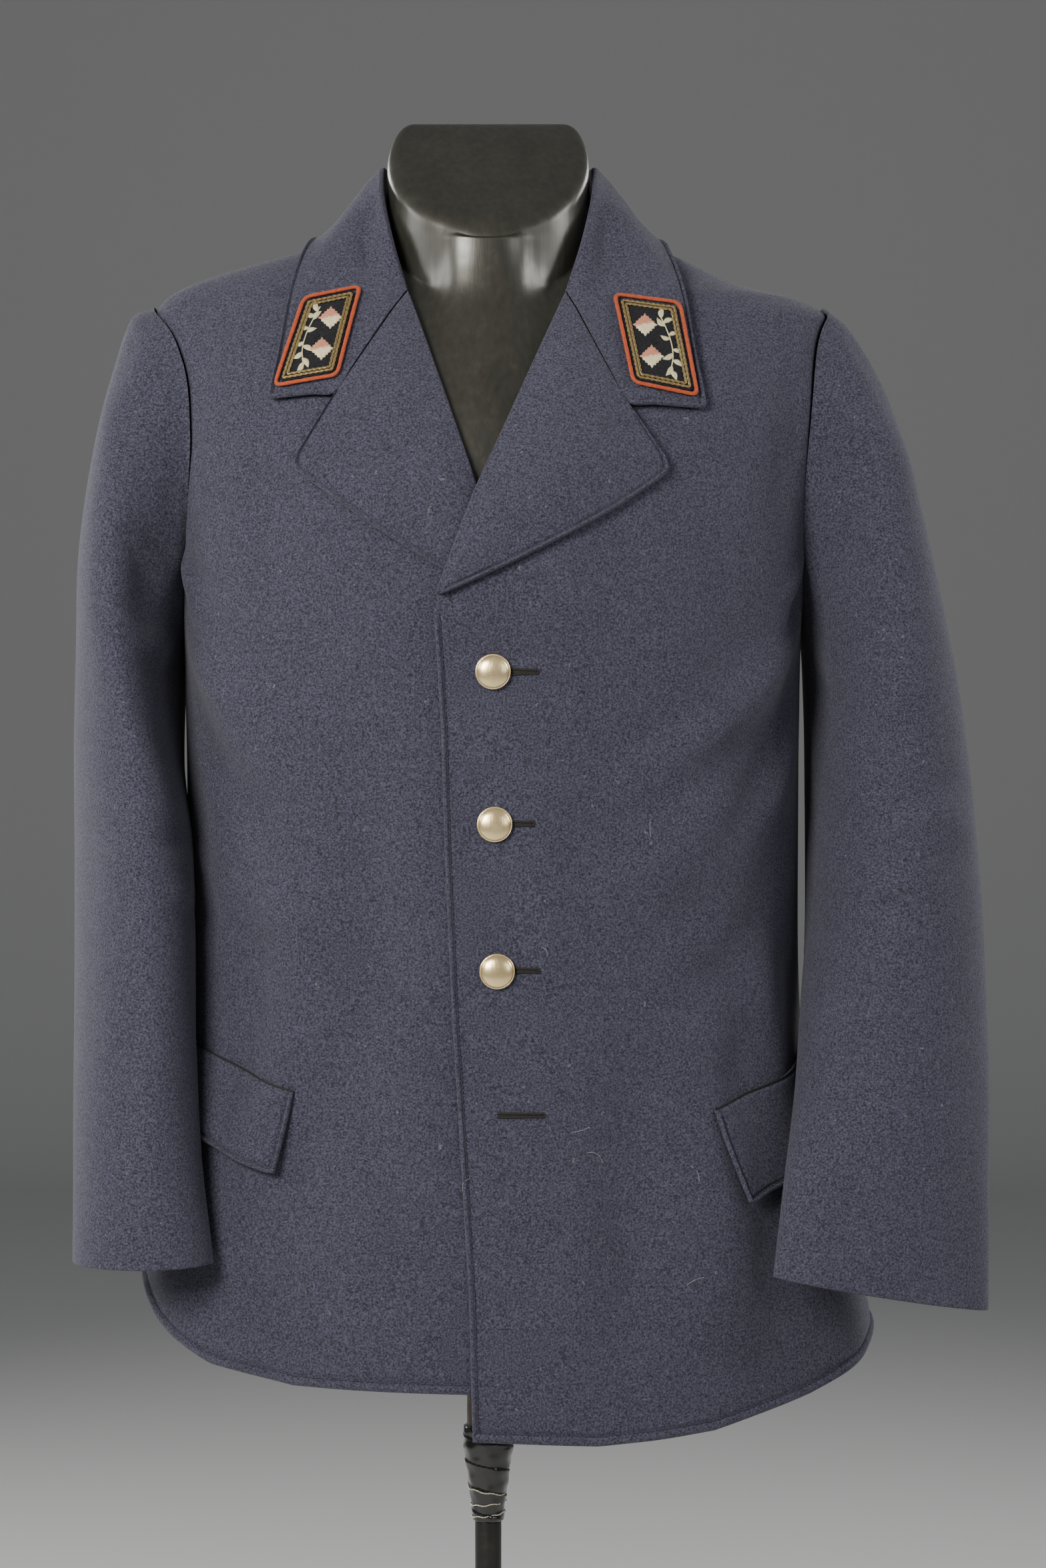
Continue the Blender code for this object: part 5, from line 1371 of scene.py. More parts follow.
def make_lapel(name, shape, lift_of):
    """A lapel: a rolled section at the front's edge, then straight rows out to its edge, over the front."""
    notch, tip, end = (np.array(shape[k], float) for k in ("notch", "tip", "break"))
    edge = rounded_corner(notch, tip, end, shape["round"], LAPEL_STEPS)
    lower = np.linspace(0, 1, LAPEL_STEPS[2] + 1)
    edge[-len(lower) :, 1] -= shape["sag"] * np.sin(math.pi * lower)
    roll = np.array(shape["roll"], float)
    run = run_length(roll, 0)
    on_roll = read_path(roll, run, np.linspace(0, run[-1], len(edge)))
    way = unit(edge - on_roll)
    outside, inside = [], []

    def place(plan, lift):
        """Points over the front at a plan, moved out by a lift."""
        point, normal = front_point(plan[:, 0], plan[:, 1])
        return point + normal * (lift_of(plan[:, 0], plan[:, 1]) + lift)[:, None]

    rise = np.sin(math.pi * np.linspace(0, 1, len(edge))) * LAPEL_SPRING
    for out_step, out_lift, in_step, in_lift in ROLL_SECTION:
        outside.append(place(on_roll + way * out_step, out_lift))
        inside.append(place(on_roll + way * in_step, in_lift))
    first = ROLL_SECTION[-1][0]
    for share in np.linspace(0, 1, LAPEL_COLUMNS + 1)[1:]:
        plan = on_roll + way * first + (edge - on_roll - way * first) * share
        lift = LAY_GAP + rise * math.sin(math.pi * min(1.0, share * LAPEL_SPRING_END))
        outside.append(place(plan, lift + CLOTH))
        inside.append(place(plan, lift))
    section = len(ROLL_SECTION) - 1
    fall = spread(LAPEL_RUN, LAPEL_PITCH, end=True) * LAPEL_COLUMNS + section
    at = np.concatenate([np.linspace(0, section, ROLL_COLUMNS + 1)[:-1], fall])
    outer, inner = (refine(np.stack(face, axis=1), at, 1) for face in (outside, inside))
    normals = grid_normals(outer)
    normals *= np.sign(-normals[len(edge) // 2, -12, 1])
    away = edge_distance(outer, ("end",))
    thin = edge_thin(away)
    seam = seam_dip(edge_distance(outer, ("top",))) / 2
    outer = outer + normals * (groove(away, EDGE_STITCH) - thin - seam)[..., None]
    inner = inner + normals * thin[..., None]
    piece = add_cloth(name, outer, inner)
    line = line_inside(outer[:, ::-1], away[:, ::-1], EDGE_STITCH)
    return piece, (line[1:], normals[1:, -BESIDE - 1])


def make_flap(side, turn_in, top_in, turn_out, top_out, bottom_in, bottom_out, lay):
    """A slanted pocket flap over the front, standing off at its lower edge, its inner corner rounded; gives
    also the path of the painted shadow line along its top seam.
    """
    down = spread(FLAP_FALL, FLAP_PITCH, start=True, end=True)[:, None]
    out = spread(FLAP_RUN, PITCH, start=True)[None, :]
    sign = math.copysign(1, turn_in)
    turn = turn_in + (turn_out - turn_in) * out + sign * FLAP_LEAN * down
    top = top_in + (top_out - top_in) * out
    bottom = bottom_in + (bottom_out - bottom_in) * out
    arc = np.radians(np.abs(turn - turn_in)) * FLAP_RADIUS
    cut = np.clip(1 - arc / FLAP_CORNER, 0, 1)
    bottom = bottom + FLAP_CORNER * (1 - np.sqrt(np.clip(1 - cut**2, 0, 1))) * down
    z = top + (bottom - top) * down
    points, normals = body_point(turn, z), body_normal(turn, z)
    lift = lay + FLAP_STAND_OFF * down**1.5 * (1 - 0.5 * out)
    surface = points + normals * (lift + CLOTH)[..., None]
    away = edge_distance(surface, ("start", "bottom"))
    top_away = run_length(surface, 0)
    rise = groove(away, EDGE_STITCH) * ease(*FLAP_CORNER_CLEAR, top_away)
    rise = rise - FLAP_SEAM_DIP * np.exp(-((top_away / FLAP_SEAM_SPREAD) ** 2))
    outside, inside = cloth_faces(surface, normals, ("start", "bottom"), ("top",), rise)
    piece = add_cloth("flap_" + side, outside, inside)
    across = run_length(surface, 1)
    beside = line_inside(surface, across, EDGE_STITCH)
    from_below = (top_away[-1:] - top_away)[::-1].T
    under = line_inside(surface[::-1].swapaxes(0, 1), from_below, EDGE_STITCH)
    down_side = slice(2, -6)
    sewn = [(beside[down_side], normals[down_side, 4]), (under[BESIDE:], normals[-6, BESIDE:])]
    # Path of a dark cord sunk along the flap's top seam: a painted shadow line where the flap meets the front
    seam = (surface[0, 1:] - normals[0, 1:] * FLAP_SHADOW_DEPTH, normals[0, 1:])
    return piece, sewn, seam


# Collar


def lay_on_body(points, lift, hold):
    """Keeps points at least a lift off the body and the neck's column; hold of 1 brings them to the lift."""
    turn = np.linspace(-180, 180, LAID_TURNS)[None, :]
    z = np.concatenate([np.linspace(*LAID_LOW), np.linspace(*LAID_HIGH)])[:, None]
    body = body_point(turn, z)
    rise = np.linspace(*LAID_NECK)[:, None, None]
    above = body[-1:] * (1 - NECK_TAPER * rise * np.array([1, 1, 0])) + np.array([0, 0, 1]) * rise
    surface = np.concatenate([body, above])
    normals = grid_normals(surface).reshape(-1, 3)
    normals *= np.sign((normals[:, :2] * surface.reshape(-1, 3)[:, :2]).sum(axis=1))[:, None]
    base = surface.reshape(-1, 3)
    flat = points.reshape(-1, 3)
    lots = np.array_split(flat, 8)
    nearest = np.concatenate([((p - base[:, None]) ** 2).sum(axis=-1).argmin(axis=0) for p in lots])
    facing = normals[nearest]
    off = ((flat - base[nearest]) * facing).sum(axis=1)
    lift, hold = (np.broadcast_to(v, points.shape[:-1]).ravel() for v in (lift, hold))
    want = lift + np.maximum(0, off - lift) * (1 - hold)
    return (flat + facing * (want - off)[:, None]).reshape(points.shape)


def collar_end(side, falls):
    """The collar's front end: the same roll as the lapel's, then gorge seam and lower edge on the front."""
    top, notch, tip = (np.array(t[side], float) for t in (COLLAR_TOP, COLLAR_NOTCH, COLLAR_TIP))
    at_notch = falls[COLLAR_NOTCH_STEP - 1]
    gorge = np.clip(falls / at_notch, 0, 1)[:, None]
    lower = np.clip((falls - at_notch) / (1 - at_notch), 0, 1)[:, None]
    section = np.array(ROLL_SECTION)
    step, lift = (section[:, 0] + section[:, 2]) / 2, (section[:, 1] + section[:, 3]) / 2
    rolled = top + unit(notch - top) * step[:, None]
    plan = np.vstack([rolled, top + (notch - top) * gorge + (tip - notch) * lower])
    lift = np.concatenate([lift, np.full(len(falls), COLLAR_LIFT)])
    point, normal = front_point(plan[:, 0], plan[:, 1])
    return point + normal * lift[:, None]


def collar_half(side):
    """Middle of the collar's cloth from the front end to centre back: stand, fold and fall."""
    share = np.linspace(0, 1, COLLAR_HALF_STEPS + 1)
    rows = smooth_table(COLLAR, share)
    mirror = np.array([side, 1, 1])
    seam, fold, edge = (rows[:, k : k + 3] * mirror for k in (0, 3, 6))
    outward = unit((edge - seam) * np.array([1, 1, 0]))
    stand = np.linalg.norm(fold - seam, axis=1, keepdims=True)
    half = np.minimum(COLLAR_FOLD_HALF, COLLAR_HINGE * stand)
    drop = np.array([[0, 0, 1]]) * half
    columns = [seam, (seam + fold) / 2 - outward * half * COLLAR_STAND_HOLLOW]
    columns += [fold - outward * half - drop, fold, fold + outward * half - drop]
    start, first = columns[-1], len(columns)
    falls = np.linspace(0, 1, COLLAR_FALL_STEPS + 1)[1:]
    columns += [start + (edge - start) * fall for fall in falls]
    grid = np.stack(columns, axis=1)
    bulge = COLLAR_BULGE * np.sin(math.pi * falls)[None, :] * ease(*COLLAR_BULGE_AT, share)[:, None]
    front = 1 - ease(*COLLAR_FREE_AT, share)[:, None]
    hold = np.maximum(front, falls[None, :] ** 3)
    lift = COLLAR_LIFT + COLLAR_SPRING * (1 - front) + bulge
    grid[:, first:] = lay_on_body(grid[:, first:], lift, hold)
    mend = collar_end(side, falls) - grid[0]
    return grid + mend * (1 - ease(0, NOTCH_REACH, share))[:, None, None]


def make_collar():
    """The collar from one front end round the neck to the other; gives the outside of its fall."""
    left, right = collar_half(-1), collar_half(1)
    middle = np.concatenate([left, right[-2::-1]], axis=0)
    rows = spread(COLLAR_RUN, PITCH, start=True, end=True) * (len(middle) - 1)
    fold = np.linspace(0, COLLAR_FALL_FIRST, COLLAR_FOLD_COLUMNS + 1)[:-1]
    fall = spread(COLLAR_FALL_RUN, COLLAR_FALL_PITCH, end=True)
    fall = COLLAR_FALL_FIRST + fall * COLLAR_FALL_STEPS
    columns = np.concatenate([fold, fall])
    middle = refine(refine(middle, rows, 0), columns, 1)
    middle = round_corner(round_corner(middle, COLLAR_ROUND, False), COLLAR_ROUND, True)
    normals = grid_normals(middle)
    normals *= np.sign(normals[len(middle) // 2, -1, 1])
    first = len(fold)
    notch = first + int(np.argmin(np.abs(fall - COLLAR_FALL_FIRST - COLLAR_NOTCH_STEP)))
    beyond = ease(notch - 2, notch + 2, np.arange(len(columns)))[None, :]
    outer_away = edge_distance(middle, ("end",))
    end_away = edge_distance(middle, ("top", "bottom"))
    away = np.minimum(outer_away, np.where(beyond > 0.5, end_away, FAR))
    thin = edge_thin(away)
    outside = middle + normals * (CLOTH / 2 - thin + groove(away, EDGE_STITCH))[..., None]
    inside = middle - normals * (CLOTH / 2 - thin)[..., None]
    piece = add_cloth("collar", outside, inside)
    edge = line_inside(outside[:, ::-1], outer_away[:, ::-1], EDGE_STITCH)
    down = run_length(middle, 0)
    sewn = [(edge[BESIDE:-BESIDE], normals[BESIDE:-BESIDE, -BESIDE - 1])]
    from_end = (down[-1:] - down)[::-1]
    for grid, ways, run in ((outside, normals, down), (outside[::-1], normals[::-1], from_end)):
        line = line_inside(grid.swapaxes(0, 1), run.T, EDGE_STITCH)
        sewn.append((line[notch:-BESIDE], ways[BESIDE, notch:-BESIDE]))
    return piece, outside[:, first:], normals[:, first:], sewn


# Patches


def inset_loop(corners, inset, radius, pitch):
    """A closed loop inside (or, below 0, outside) four corners: sides moved in, corners on quadratic arcs."""
    corners = np.array(corners, float)
    centre = corners.mean(axis=0)
    after = np.roll(corners, -1, axis=0)
    way = unit(after - corners)
    normal = np.stack([-way[:, 1], way[:, 0]], axis=-1)
    normal *= np.sign(((centre - corners) * normal).sum(axis=1))[:, None]
    reach = (corners * normal).sum(axis=1) + inset
    pairs = np.stack([np.roll(normal, 1, axis=0), normal], axis=1)
    moved = np.linalg.solve(pairs, np.stack([np.roll(reach, 1), reach], axis=-1)[..., None])[..., 0]
    points = []
    for k in range(4):
        before, here, there = moved[k - 1], moved[k], moved[(k + 1) % 4]
        arrive, leave = here + unit(before - here) * radius, here + unit(there - here) * radius
        t = np.linspace(0, 1, max(4, round(1.5 * radius / pitch)))[:, None]
        points.append((1 - t) ** 2 * arrive + 2 * t * (1 - t) * here + t**2 * leave)
        end = there + unit(here - there) * radius
        count = max(2, round(np.linalg.norm(end - leave) / pitch))
        points.append(leave + (end - leave) * np.linspace(0, 1, count + 1)[1:-1, None])
    loop = np.concatenate([*points, points[0][:1]])
    run = run_length(loop, 0)
    return read_path(loop, run, np.linspace(0, run[-1], round(run[-1] / pitch), endpoint=False)), run[-1]


def rope(loop, length, place, lift, twist):
    """A flattened rope round a loop: radius r(swell - waist|sin(angle + twist)|) shows two strands."""
    path, up = place(loop, lift)
    angle = np.linspace(0, 2 * math.pi, ROPE_SIDES, endpoint=False)[None, :]
    turns = round(length / ROPE_LAY)
    turns += turns % 2  # after an even number of turns the strands meet
    along = np.linspace(0, 2 * math.pi * turns, len(path), endpoint=False)[:, None]
    radius = ROPE_RADIUS * (ROPE_SWELL - ROPE_WAIST * np.abs(np.sin(angle + twist * along / 2)))
    return tube(path, up, radius, radius * ROPE_FLAT, ROPE_SIDES, closed=True)


def leaf(start, heading, length, place, lift):
    """A pointed leaf: half width w sin(pi u)^0.8, domed across, with a sunk midrib."""
    u, v = np.linspace(0, 1, 9)[:, None], np.linspace(-1, 1, 7)[None, :]
    half = LEAF_HALF * length * np.sin(math.pi * np.clip(u, 0.02, 0.98)) ** 0.8 * (1.25 - 0.5 * u)
    bend = LEAF_BEND * length * np.sin(math.pi * u)
    way = np.array([math.cos(heading), -math.sin(heading)])
    side = np.array([-way[1], way[0]])
    plan = np.array(start) + (u * length)[..., None] * way + (v * half + bend)[..., None] * side
    dome = LEAF_DOME * (1 - v**2) * np.sin(math.pi * np.clip(u, 0.05, 0.95)) ** 0.5
    dome = dome - LEAF_RIB * np.exp(-((v / 0.22) ** 2)) * (u < 0.95)
    top = place(plan, lift + dome)[0]
    low = place(plan, np.full(dome.shape, lift - LEAF_THICK))[0]
    return wall(top, low)


def pip(centre, place, lift):
    """A toothed diamond: radius R / (|cos| + |sin|) times small teeth, raised to a boss, rayed by ridges."""
    angle = np.linspace(0, 2 * math.pi, 97)[None, :-1]
    share = np.linspace(0, 1, 10)[:, None]
    shape = 1 / (np.abs(np.cos(angle)) + np.abs(np.sin(angle))) ** 0.9
    teeth = np.abs((angle * PIP_TEETH / math.pi) % 2 - 1)
    rim = PIP_RADIUS * shape * (1 + PIP_TOOTH * teeth * share)
    reach = rim * share
    plan = np.array(centre) + np.stack([reach * np.sin(angle), reach * np.cos(angle)], axis=-1)
    rays = 0.5 + 0.5 * np.cos(angle * PIP_RAYS)
    rise = PIP_THICK + PIP_DOME * np.cos(share * 1.4) + PIP_RAY * rays * share * (1 - share**4)
    boss = PIP_BOSS * np.exp(-((share / 0.22) ** 2))
    rise = rise + boss - PIP_DITCH * np.exp(-(((share - 0.30) / 0.07) ** 2))
    rise = np.where(share >= 0.999, 0.0002, rise)
    top = place(plan, lift + rise)[0]
    low = place(plan, np.full(rise.shape, lift - 0.0003))[0]
    points, faces = wall(top, low, wrap=True)
    upper = ease(*PIP_TINT, (plan[..., 1] - centre[1]) - PIP_SLANT * (plan[..., 0] - centre[0]))
    return points, faces, np.concatenate([upper.ravel(), upper.ravel()])


def in_patch(corners, across, down):
    """Plan of a place on a patch by its shares across (inner to outer) and down."""
    inner_top, outer_top, outer_bottom, inner_bottom = (np.array(c, float) for c in corners)
    top = inner_top + (outer_top - inner_top) * across
    bottom = inner_bottom + (outer_bottom - inner_bottom) * across
    return top + (bottom - top) * down


def make_patch(side, corners, place):
    """Felt ground, orange piping round it, two ropes inside, a sprig and two pips."""
    sign = -1 if side == "left" else 1
    loop, _ = inset_loop(corners, 0.0, FELT_ROUND, LOOP_PITCH)
    centre = loop.mean(axis=0)
    plan = centre + (loop - centre) * np.array(FELT_RINGS)[:, None, None]
    fall = np.array(FELT_FALL)[:, None] + 0 * plan[..., 0]
    top = place(plan, PATCH_GAP + PATCH_THICK - fall)[0]
    low = place(plan, np.full(fall.shape, PATCH_GAP))[0]
    ground = add_piece(f"patch_{side}_felt", [wall(top, low, wrap=True)], felt)
    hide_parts("patch_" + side)
    loop, _ = inset_loop(corners, -PIPING_GAP - PIPING_WIDTH / 2, PIPING_ROUND, LOOP_PITCH)
    path, up = place(loop, PATCH_GAP + PIPING_LIFT + PIPING_THICK / 2)
    run = np.arange(len(path))
    full = 1 + 0.05 * np.sin(run * 0.9) + 0.04 * np.sin(run * 0.37 + 1)
    cord = tube(path, up, PIPING_WIDTH / 2 * full, PIPING_THICK / 2 * full, 12, closed=True)
    piping = add_piece(f"piping_{side}_cord", [cord], orange)
    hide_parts("piping_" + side)
    level = PATCH_GAP + PATCH_THICK
    ropes = []
    for k, twist in ((0, 1), (1, -1)):
        inset = BRAID_INSET + k * ROPE_STEP
        loop, length = inset_loop(corners, inset, ROPE_ROUND[k], ROPE_PITCH)
        ropes.append(rope(loop, length, place, level + ROPE_RADIUS * 0.55, twist))
    braid = add_piece(f"braid_{side}", ropes, gilt)
    stem = np.array([in_patch(corners, a, d) for a, d in STEM])
    stem = refine(stem, np.linspace(0, len(stem) - 1, STEM_RINGS), 0)
    path, up = place(stem, level + STEM_LIFT)
    parts = [tube(path, up, STEM_HALF, STEM_TALL, 8)]
    for across, down, heading, length in LEAVES:
        way = math.radians(heading)
        way = way if sign > 0 else math.pi - way
        parts.append(leaf(in_patch(corners, across, down), way, length, place, level + LEAF_LIFT))
    sprig = add_piece(f"sprig_{side}", parts, leaf_silk)
    made = [pip(in_patch(corners, across, down), place, level + PIP_LIFT) for across, down in PIPS]
    pips = add_piece(f"pips_{side}", [(p, f) for p, f, _ in made], pip_silk)
    tint = pips.data.attributes.new("upper", "FLOAT", "POINT")
    tint.data.foreach_set("value", np.concatenate([u for _, _, u in made]).astype(np.float32))
    return ground, [piping, braid, sprig, pips]


# Buttons and buttonholes


def make_button(number, z, x, place):
    """A domed shank button: shank, rolled rim, then a dome of radius R cos and rise H sin."""
    point, normal = place(np.array([[x, z]]), BUTTON_SEAT)
    lift = SHANK_LENGTH
    t = np.linspace(0, math.pi / 2, 22)
    shank, flare = SHANK_RADIUS, SHANK_RADIUS + SHANK_FLARE
    under = [(0.0006, 0), (shank, 0), (shank, lift - 0.0003), (flare, lift)]
    edge = np.linspace(-math.pi / 2, math.pi / 2, 9)
    rim_radius = BUTTON_RADIUS - RIM_ROUND + RIM_ROUND * np.cos(edge)
    rim_rise = lift + RIM_ROUND + RIM_ROUND * np.sin(edge)
    dome_radius = (BUTTON_RADIUS - DOME_INSET) * np.cos(t[:-1])
    dome_rise = lift + BUTTON_RIM * 0.8 + (BUTTON_HEIGHT - BUTTON_RIM) * np.sin(t[:-1])
    radius = np.concatenate([[r for r, _ in under], rim_radius, dome_radius])
    height = np.concatenate([[h for _, h in under], rim_rise, dome_rise])
    solid = turned(radius, height, BUTTON_SIDES, normal[0], point[0])
    piece = add_piece(f"button_{number}_dome", [solid], brass)
    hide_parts(f"button_{number}")


def make_buttonhole(number, z, start, end, gape, place):
    """A worked buttonhole: two ridges of purl stitches that part by the gape, round an eyelet at the end,
    with a dark sheet between them that is painted shade in the open slit.
    """
    eye = EYELET_RADIUS
    t = np.linspace(0, 1, 70)
    x = start + (end - start - eye) * t
    apart = SLIT_HALF + gape * (1 - t) ** 1.2
    angle = np.linspace(math.pi / 2 + 0.5, -math.pi / 2 - 0.5, 22)
    ring = np.stack([end - eye + eye * 1.05 * np.cos(angle), z + eye * 1.05 * np.sin(angle)], axis=-1)
    upper = np.stack([x[:-2], z + apart[:-2]], axis=-1)
    lower = np.stack([x[:-2], z - apart[:-2]], axis=-1)[::-1]
    plan = np.vstack([upper, ring, lower])
    path, up = place(plan, PURL_LIFT)
    run = run_length(path, 0)
    even = np.linspace(0, run[-1], PURL_RINGS)
    path, up = read_path(path, run, even), read_path(up, run, even)
    purl = 1 + PURL_SWELL * np.sin(even * 2 * math.pi / PURL_PITCH)
    ridge = tube(path, up, PURL_HALF * purl, PURL_TALL * purl, 8)
    # A dark sheet across the slit between the ridges: painted shade in the buttonhole's opening
    slit_x = start + (end - start - 0.0004) * np.linspace(0, 1, 24)[:, None]
    reach = np.clip(np.interp(slit_x, x, apart), 0.0003, 0.004)
    across = np.linspace(-1, 1, 5)[None, :]
    slit_shade_sheet = np.stack([slit_x + 0 * across, z + reach * across], axis=-1)
    top, low = (place(slit_shade_sheet, np.full(slit_shade_sheet.shape[:-1], lift))[0] for lift in SLIT_SHADE_LIFTS)
    return add_piece(f"buttonhole_{number}", [ridge, wall(top, low)], dark_thread_and_shade)


# Dress form and stand


def cap_height(y):
    """Height of the neck's top: level behind the ridge, sloping down in front, softened between."""
    slope = CAP_TOP_Z + (y - CAP_RIDGE_Y) * CAP_SLOPE
    return (CAP_TOP_Z + slope - np.hypot(CAP_TOP_Z - slope, RIDGE_SOFT)) / 2


def ring_radius(direction, half, depth, power):
    """Radius of a rounded ring in a direction seen from above."""
    across, along = np.sin(np.radians(direction)), np.cos(np.radians(direction))
    return (np.abs(across / half) ** power + np.abs(along / depth) ** power) ** (-1 / power)


def form_radius(direction, z):
    """The larger of what fits inside the cloth and the neck, run together softly at the throat."""
    inset = CLOTH + FORM_CLEAR + FORM_EASE * ease(*CHEST_Z, z) + FORM_HIP_EASE * ease(*HIP_Z, z)
    ahead, leftward = np.cos(np.radians(direction)), np.sin(np.radians(direction)) < 0
    left, right, front, back, power = np.moveaxis(smooth_table(BODY_RINGS, z + inset), -1, 0)
    cloth = ring_radius(direction, np.where(leftward, left, right), np.where(ahead > 0, front, back), power)
    cloth = cloth - inset - NECK_FALL * np.maximum(0, z + inset - FORM_TOP_Z)
    half, front, back = np.moveaxis(smooth_table(NECK_RINGS, z), -1, 0)
    neck = ring_radius(direction, half, np.where(ahead > 0, front, back), 2)
    blend = THROAT_BLEND * ease(*THROAT_WIDE, ahead) + THROAT_MORE * ease(*THROAT_NARROW, ahead)
    return (cloth + neck + np.hypot(cloth - neck, blend)) / 2


def ring_heading(turn, z):
    """Direction seen from above of a point of the smooth body ring at a turn."""
    x, y = ring_place(turn, z)
    return np.degrees(np.arctan2(x, -y))


def make_form():
    """The dress form: rings inside the cloth, the neck, its rounded rim and its sloping cap."""
    turn = np.linspace(0, 360, FORM_SIDES, endpoint=False)[None, :]
    top_z = NECK_RINGS[-1][0]
    low = np.linspace(FORM_BOTTOM_Z, FORM_LEVEL_Z, TRUNK_RINGS)
    high = np.linspace(FORM_LEVEL_Z, FORM_SHOULDER_TOP_Z, SHOULDER_RINGS + 1)[1:]
    neck = np.linspace(FORM_SHOULDER_TOP_Z, top_z, THROAT_RINGS + 1)[1:]
    level = np.concatenate([low, high, neck])[:, None]
    _, half, front, back = NECK_RINGS[-1]
    ahead = np.cos(np.radians(turn))
    rim = ring_radius(turn, half, np.where(ahead > 0, front, back), 2)
    rim_z = cap_height(-rim * ahead) - CAP_EDGE
    tilt_z = FORM_LEVEL_Z + (NECK_RINGS[0][0] - FORM_LEVEL_Z) * ease(*FORM_TILT, ahead)
    share = np.clip((level - tilt_z) / (top_z - tilt_z), 0, 1)
    z = np.minimum(level, tilt_z) + share * (rim_z - tilt_z)
    turn = np.broadcast_to(turn, z.shape)
    by_ring = ring_heading(turn, z) % 360
    by_ring[:, 0] = 0
    direction = by_ring + (turn - by_ring) * ease(*FORM_EVEN_Z, z)
    radius = form_radius(direction, z)
    across, along = np.sin(np.radians(direction)), np.cos(np.radians(direction))
    rings = np.stack([radius * across, -radius * along, z], axis=-1)
    edge = rings[-1]
    swing = np.linspace(0, math.pi / 2, 12)[1:, None]
    inner = 1 - (1 - CAP_SHARE) * (1 - np.cos(swing))
    inner = np.concatenate([inner, np.linspace(CAP_SHARE, CAP_MIDDLE, CAP_RINGS + 1)[1:, None]])
    drop = np.concatenate([CAP_EDGE * (1 - np.sin(swing)), np.zeros((CAP_RINGS, 1))])
    cap = edge[None] * np.array([1, 1, 0]) * inner[..., None]
    cap[..., 2] = cap_height(cap[..., 1]) - drop
    swing = np.linspace(0, math.pi / 2, 8)[:-1, None, None]
    bottom = rings[0] * (1 - FORM_BOTTOM_TUCK * (1 - np.sin(swing)))
    bottom[..., 2] = FORM_BOTTOM_Z - FORM_BOTTOM_DROP * np.cos(swing[..., 0])
    inward = np.linspace(0.05, 1, 9)[:-1, None, None]
    under = bottom[0] * inward
    under[..., 2] = FORM_BOTTOM_Z - FORM_BOTTOM_DROP
    solid = closed_rings(np.concatenate([under, bottom, rings, cap]))
    piece = add_piece("form_shell", [solid], shell)
    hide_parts("form_body")


def rounded_profile(corners, radius):
    """A turned profile whose corners are on small quadratic arcs."""
    corners = np.array(corners, float)
    points = [corners[0]]
    for before, here, after in zip(corners[:-2], corners[1:-1], corners[2:]):
        reach = min(radius, np.linalg.norm(before - here) / 2.2, np.linalg.norm(after - here) / 2.2)
        t = np.linspace(0, 1, 6)[:, None]
        start, end = here + unit(before - here) * reach, here + unit(after - here) * reach
        points.extend((1 - t) ** 2 * start + 2 * t * (1 - t) * here + t**2 * end)
    points.append(corners[-1])
    return np.array(points).T


def tape_swell(angle, height):
    """Overlaps of tape wound up the joint: a saw along a slanting wind, and small wrinkles."""
    wind = (height - JOINT_BOTTOM_Z) / TAPE_PITCH + angle / (2 * math.pi)
    lap = TAPE_LAP * (wind % 1.0) ** 2
    wrinkle = TAPE_WRINKLE * np.sin(angle * 3 + height * 420) * np.sin(angle * 5 - height * 160 + 1.0)
    gap, fade = TAPE_ENDS
    foot = ease(JOINT_BOTTOM_Z, JOINT_BOTTOM_Z + fade, height)
    return (lap + wrinkle) * foot * ease(ROD_BOTTOM_Z - gap, ROD_BOTTOM_Z - gap - fade, height)


def add_bar(name, radius, low, high, sides, material):
    """A round bar with softened ends."""
    profile = rounded_profile([(AXIS, low), (radius, low), (radius, high), (AXIS, high)], BAR_ROUND)
    return add_piece(name, [turned(*profile, sides)], material)


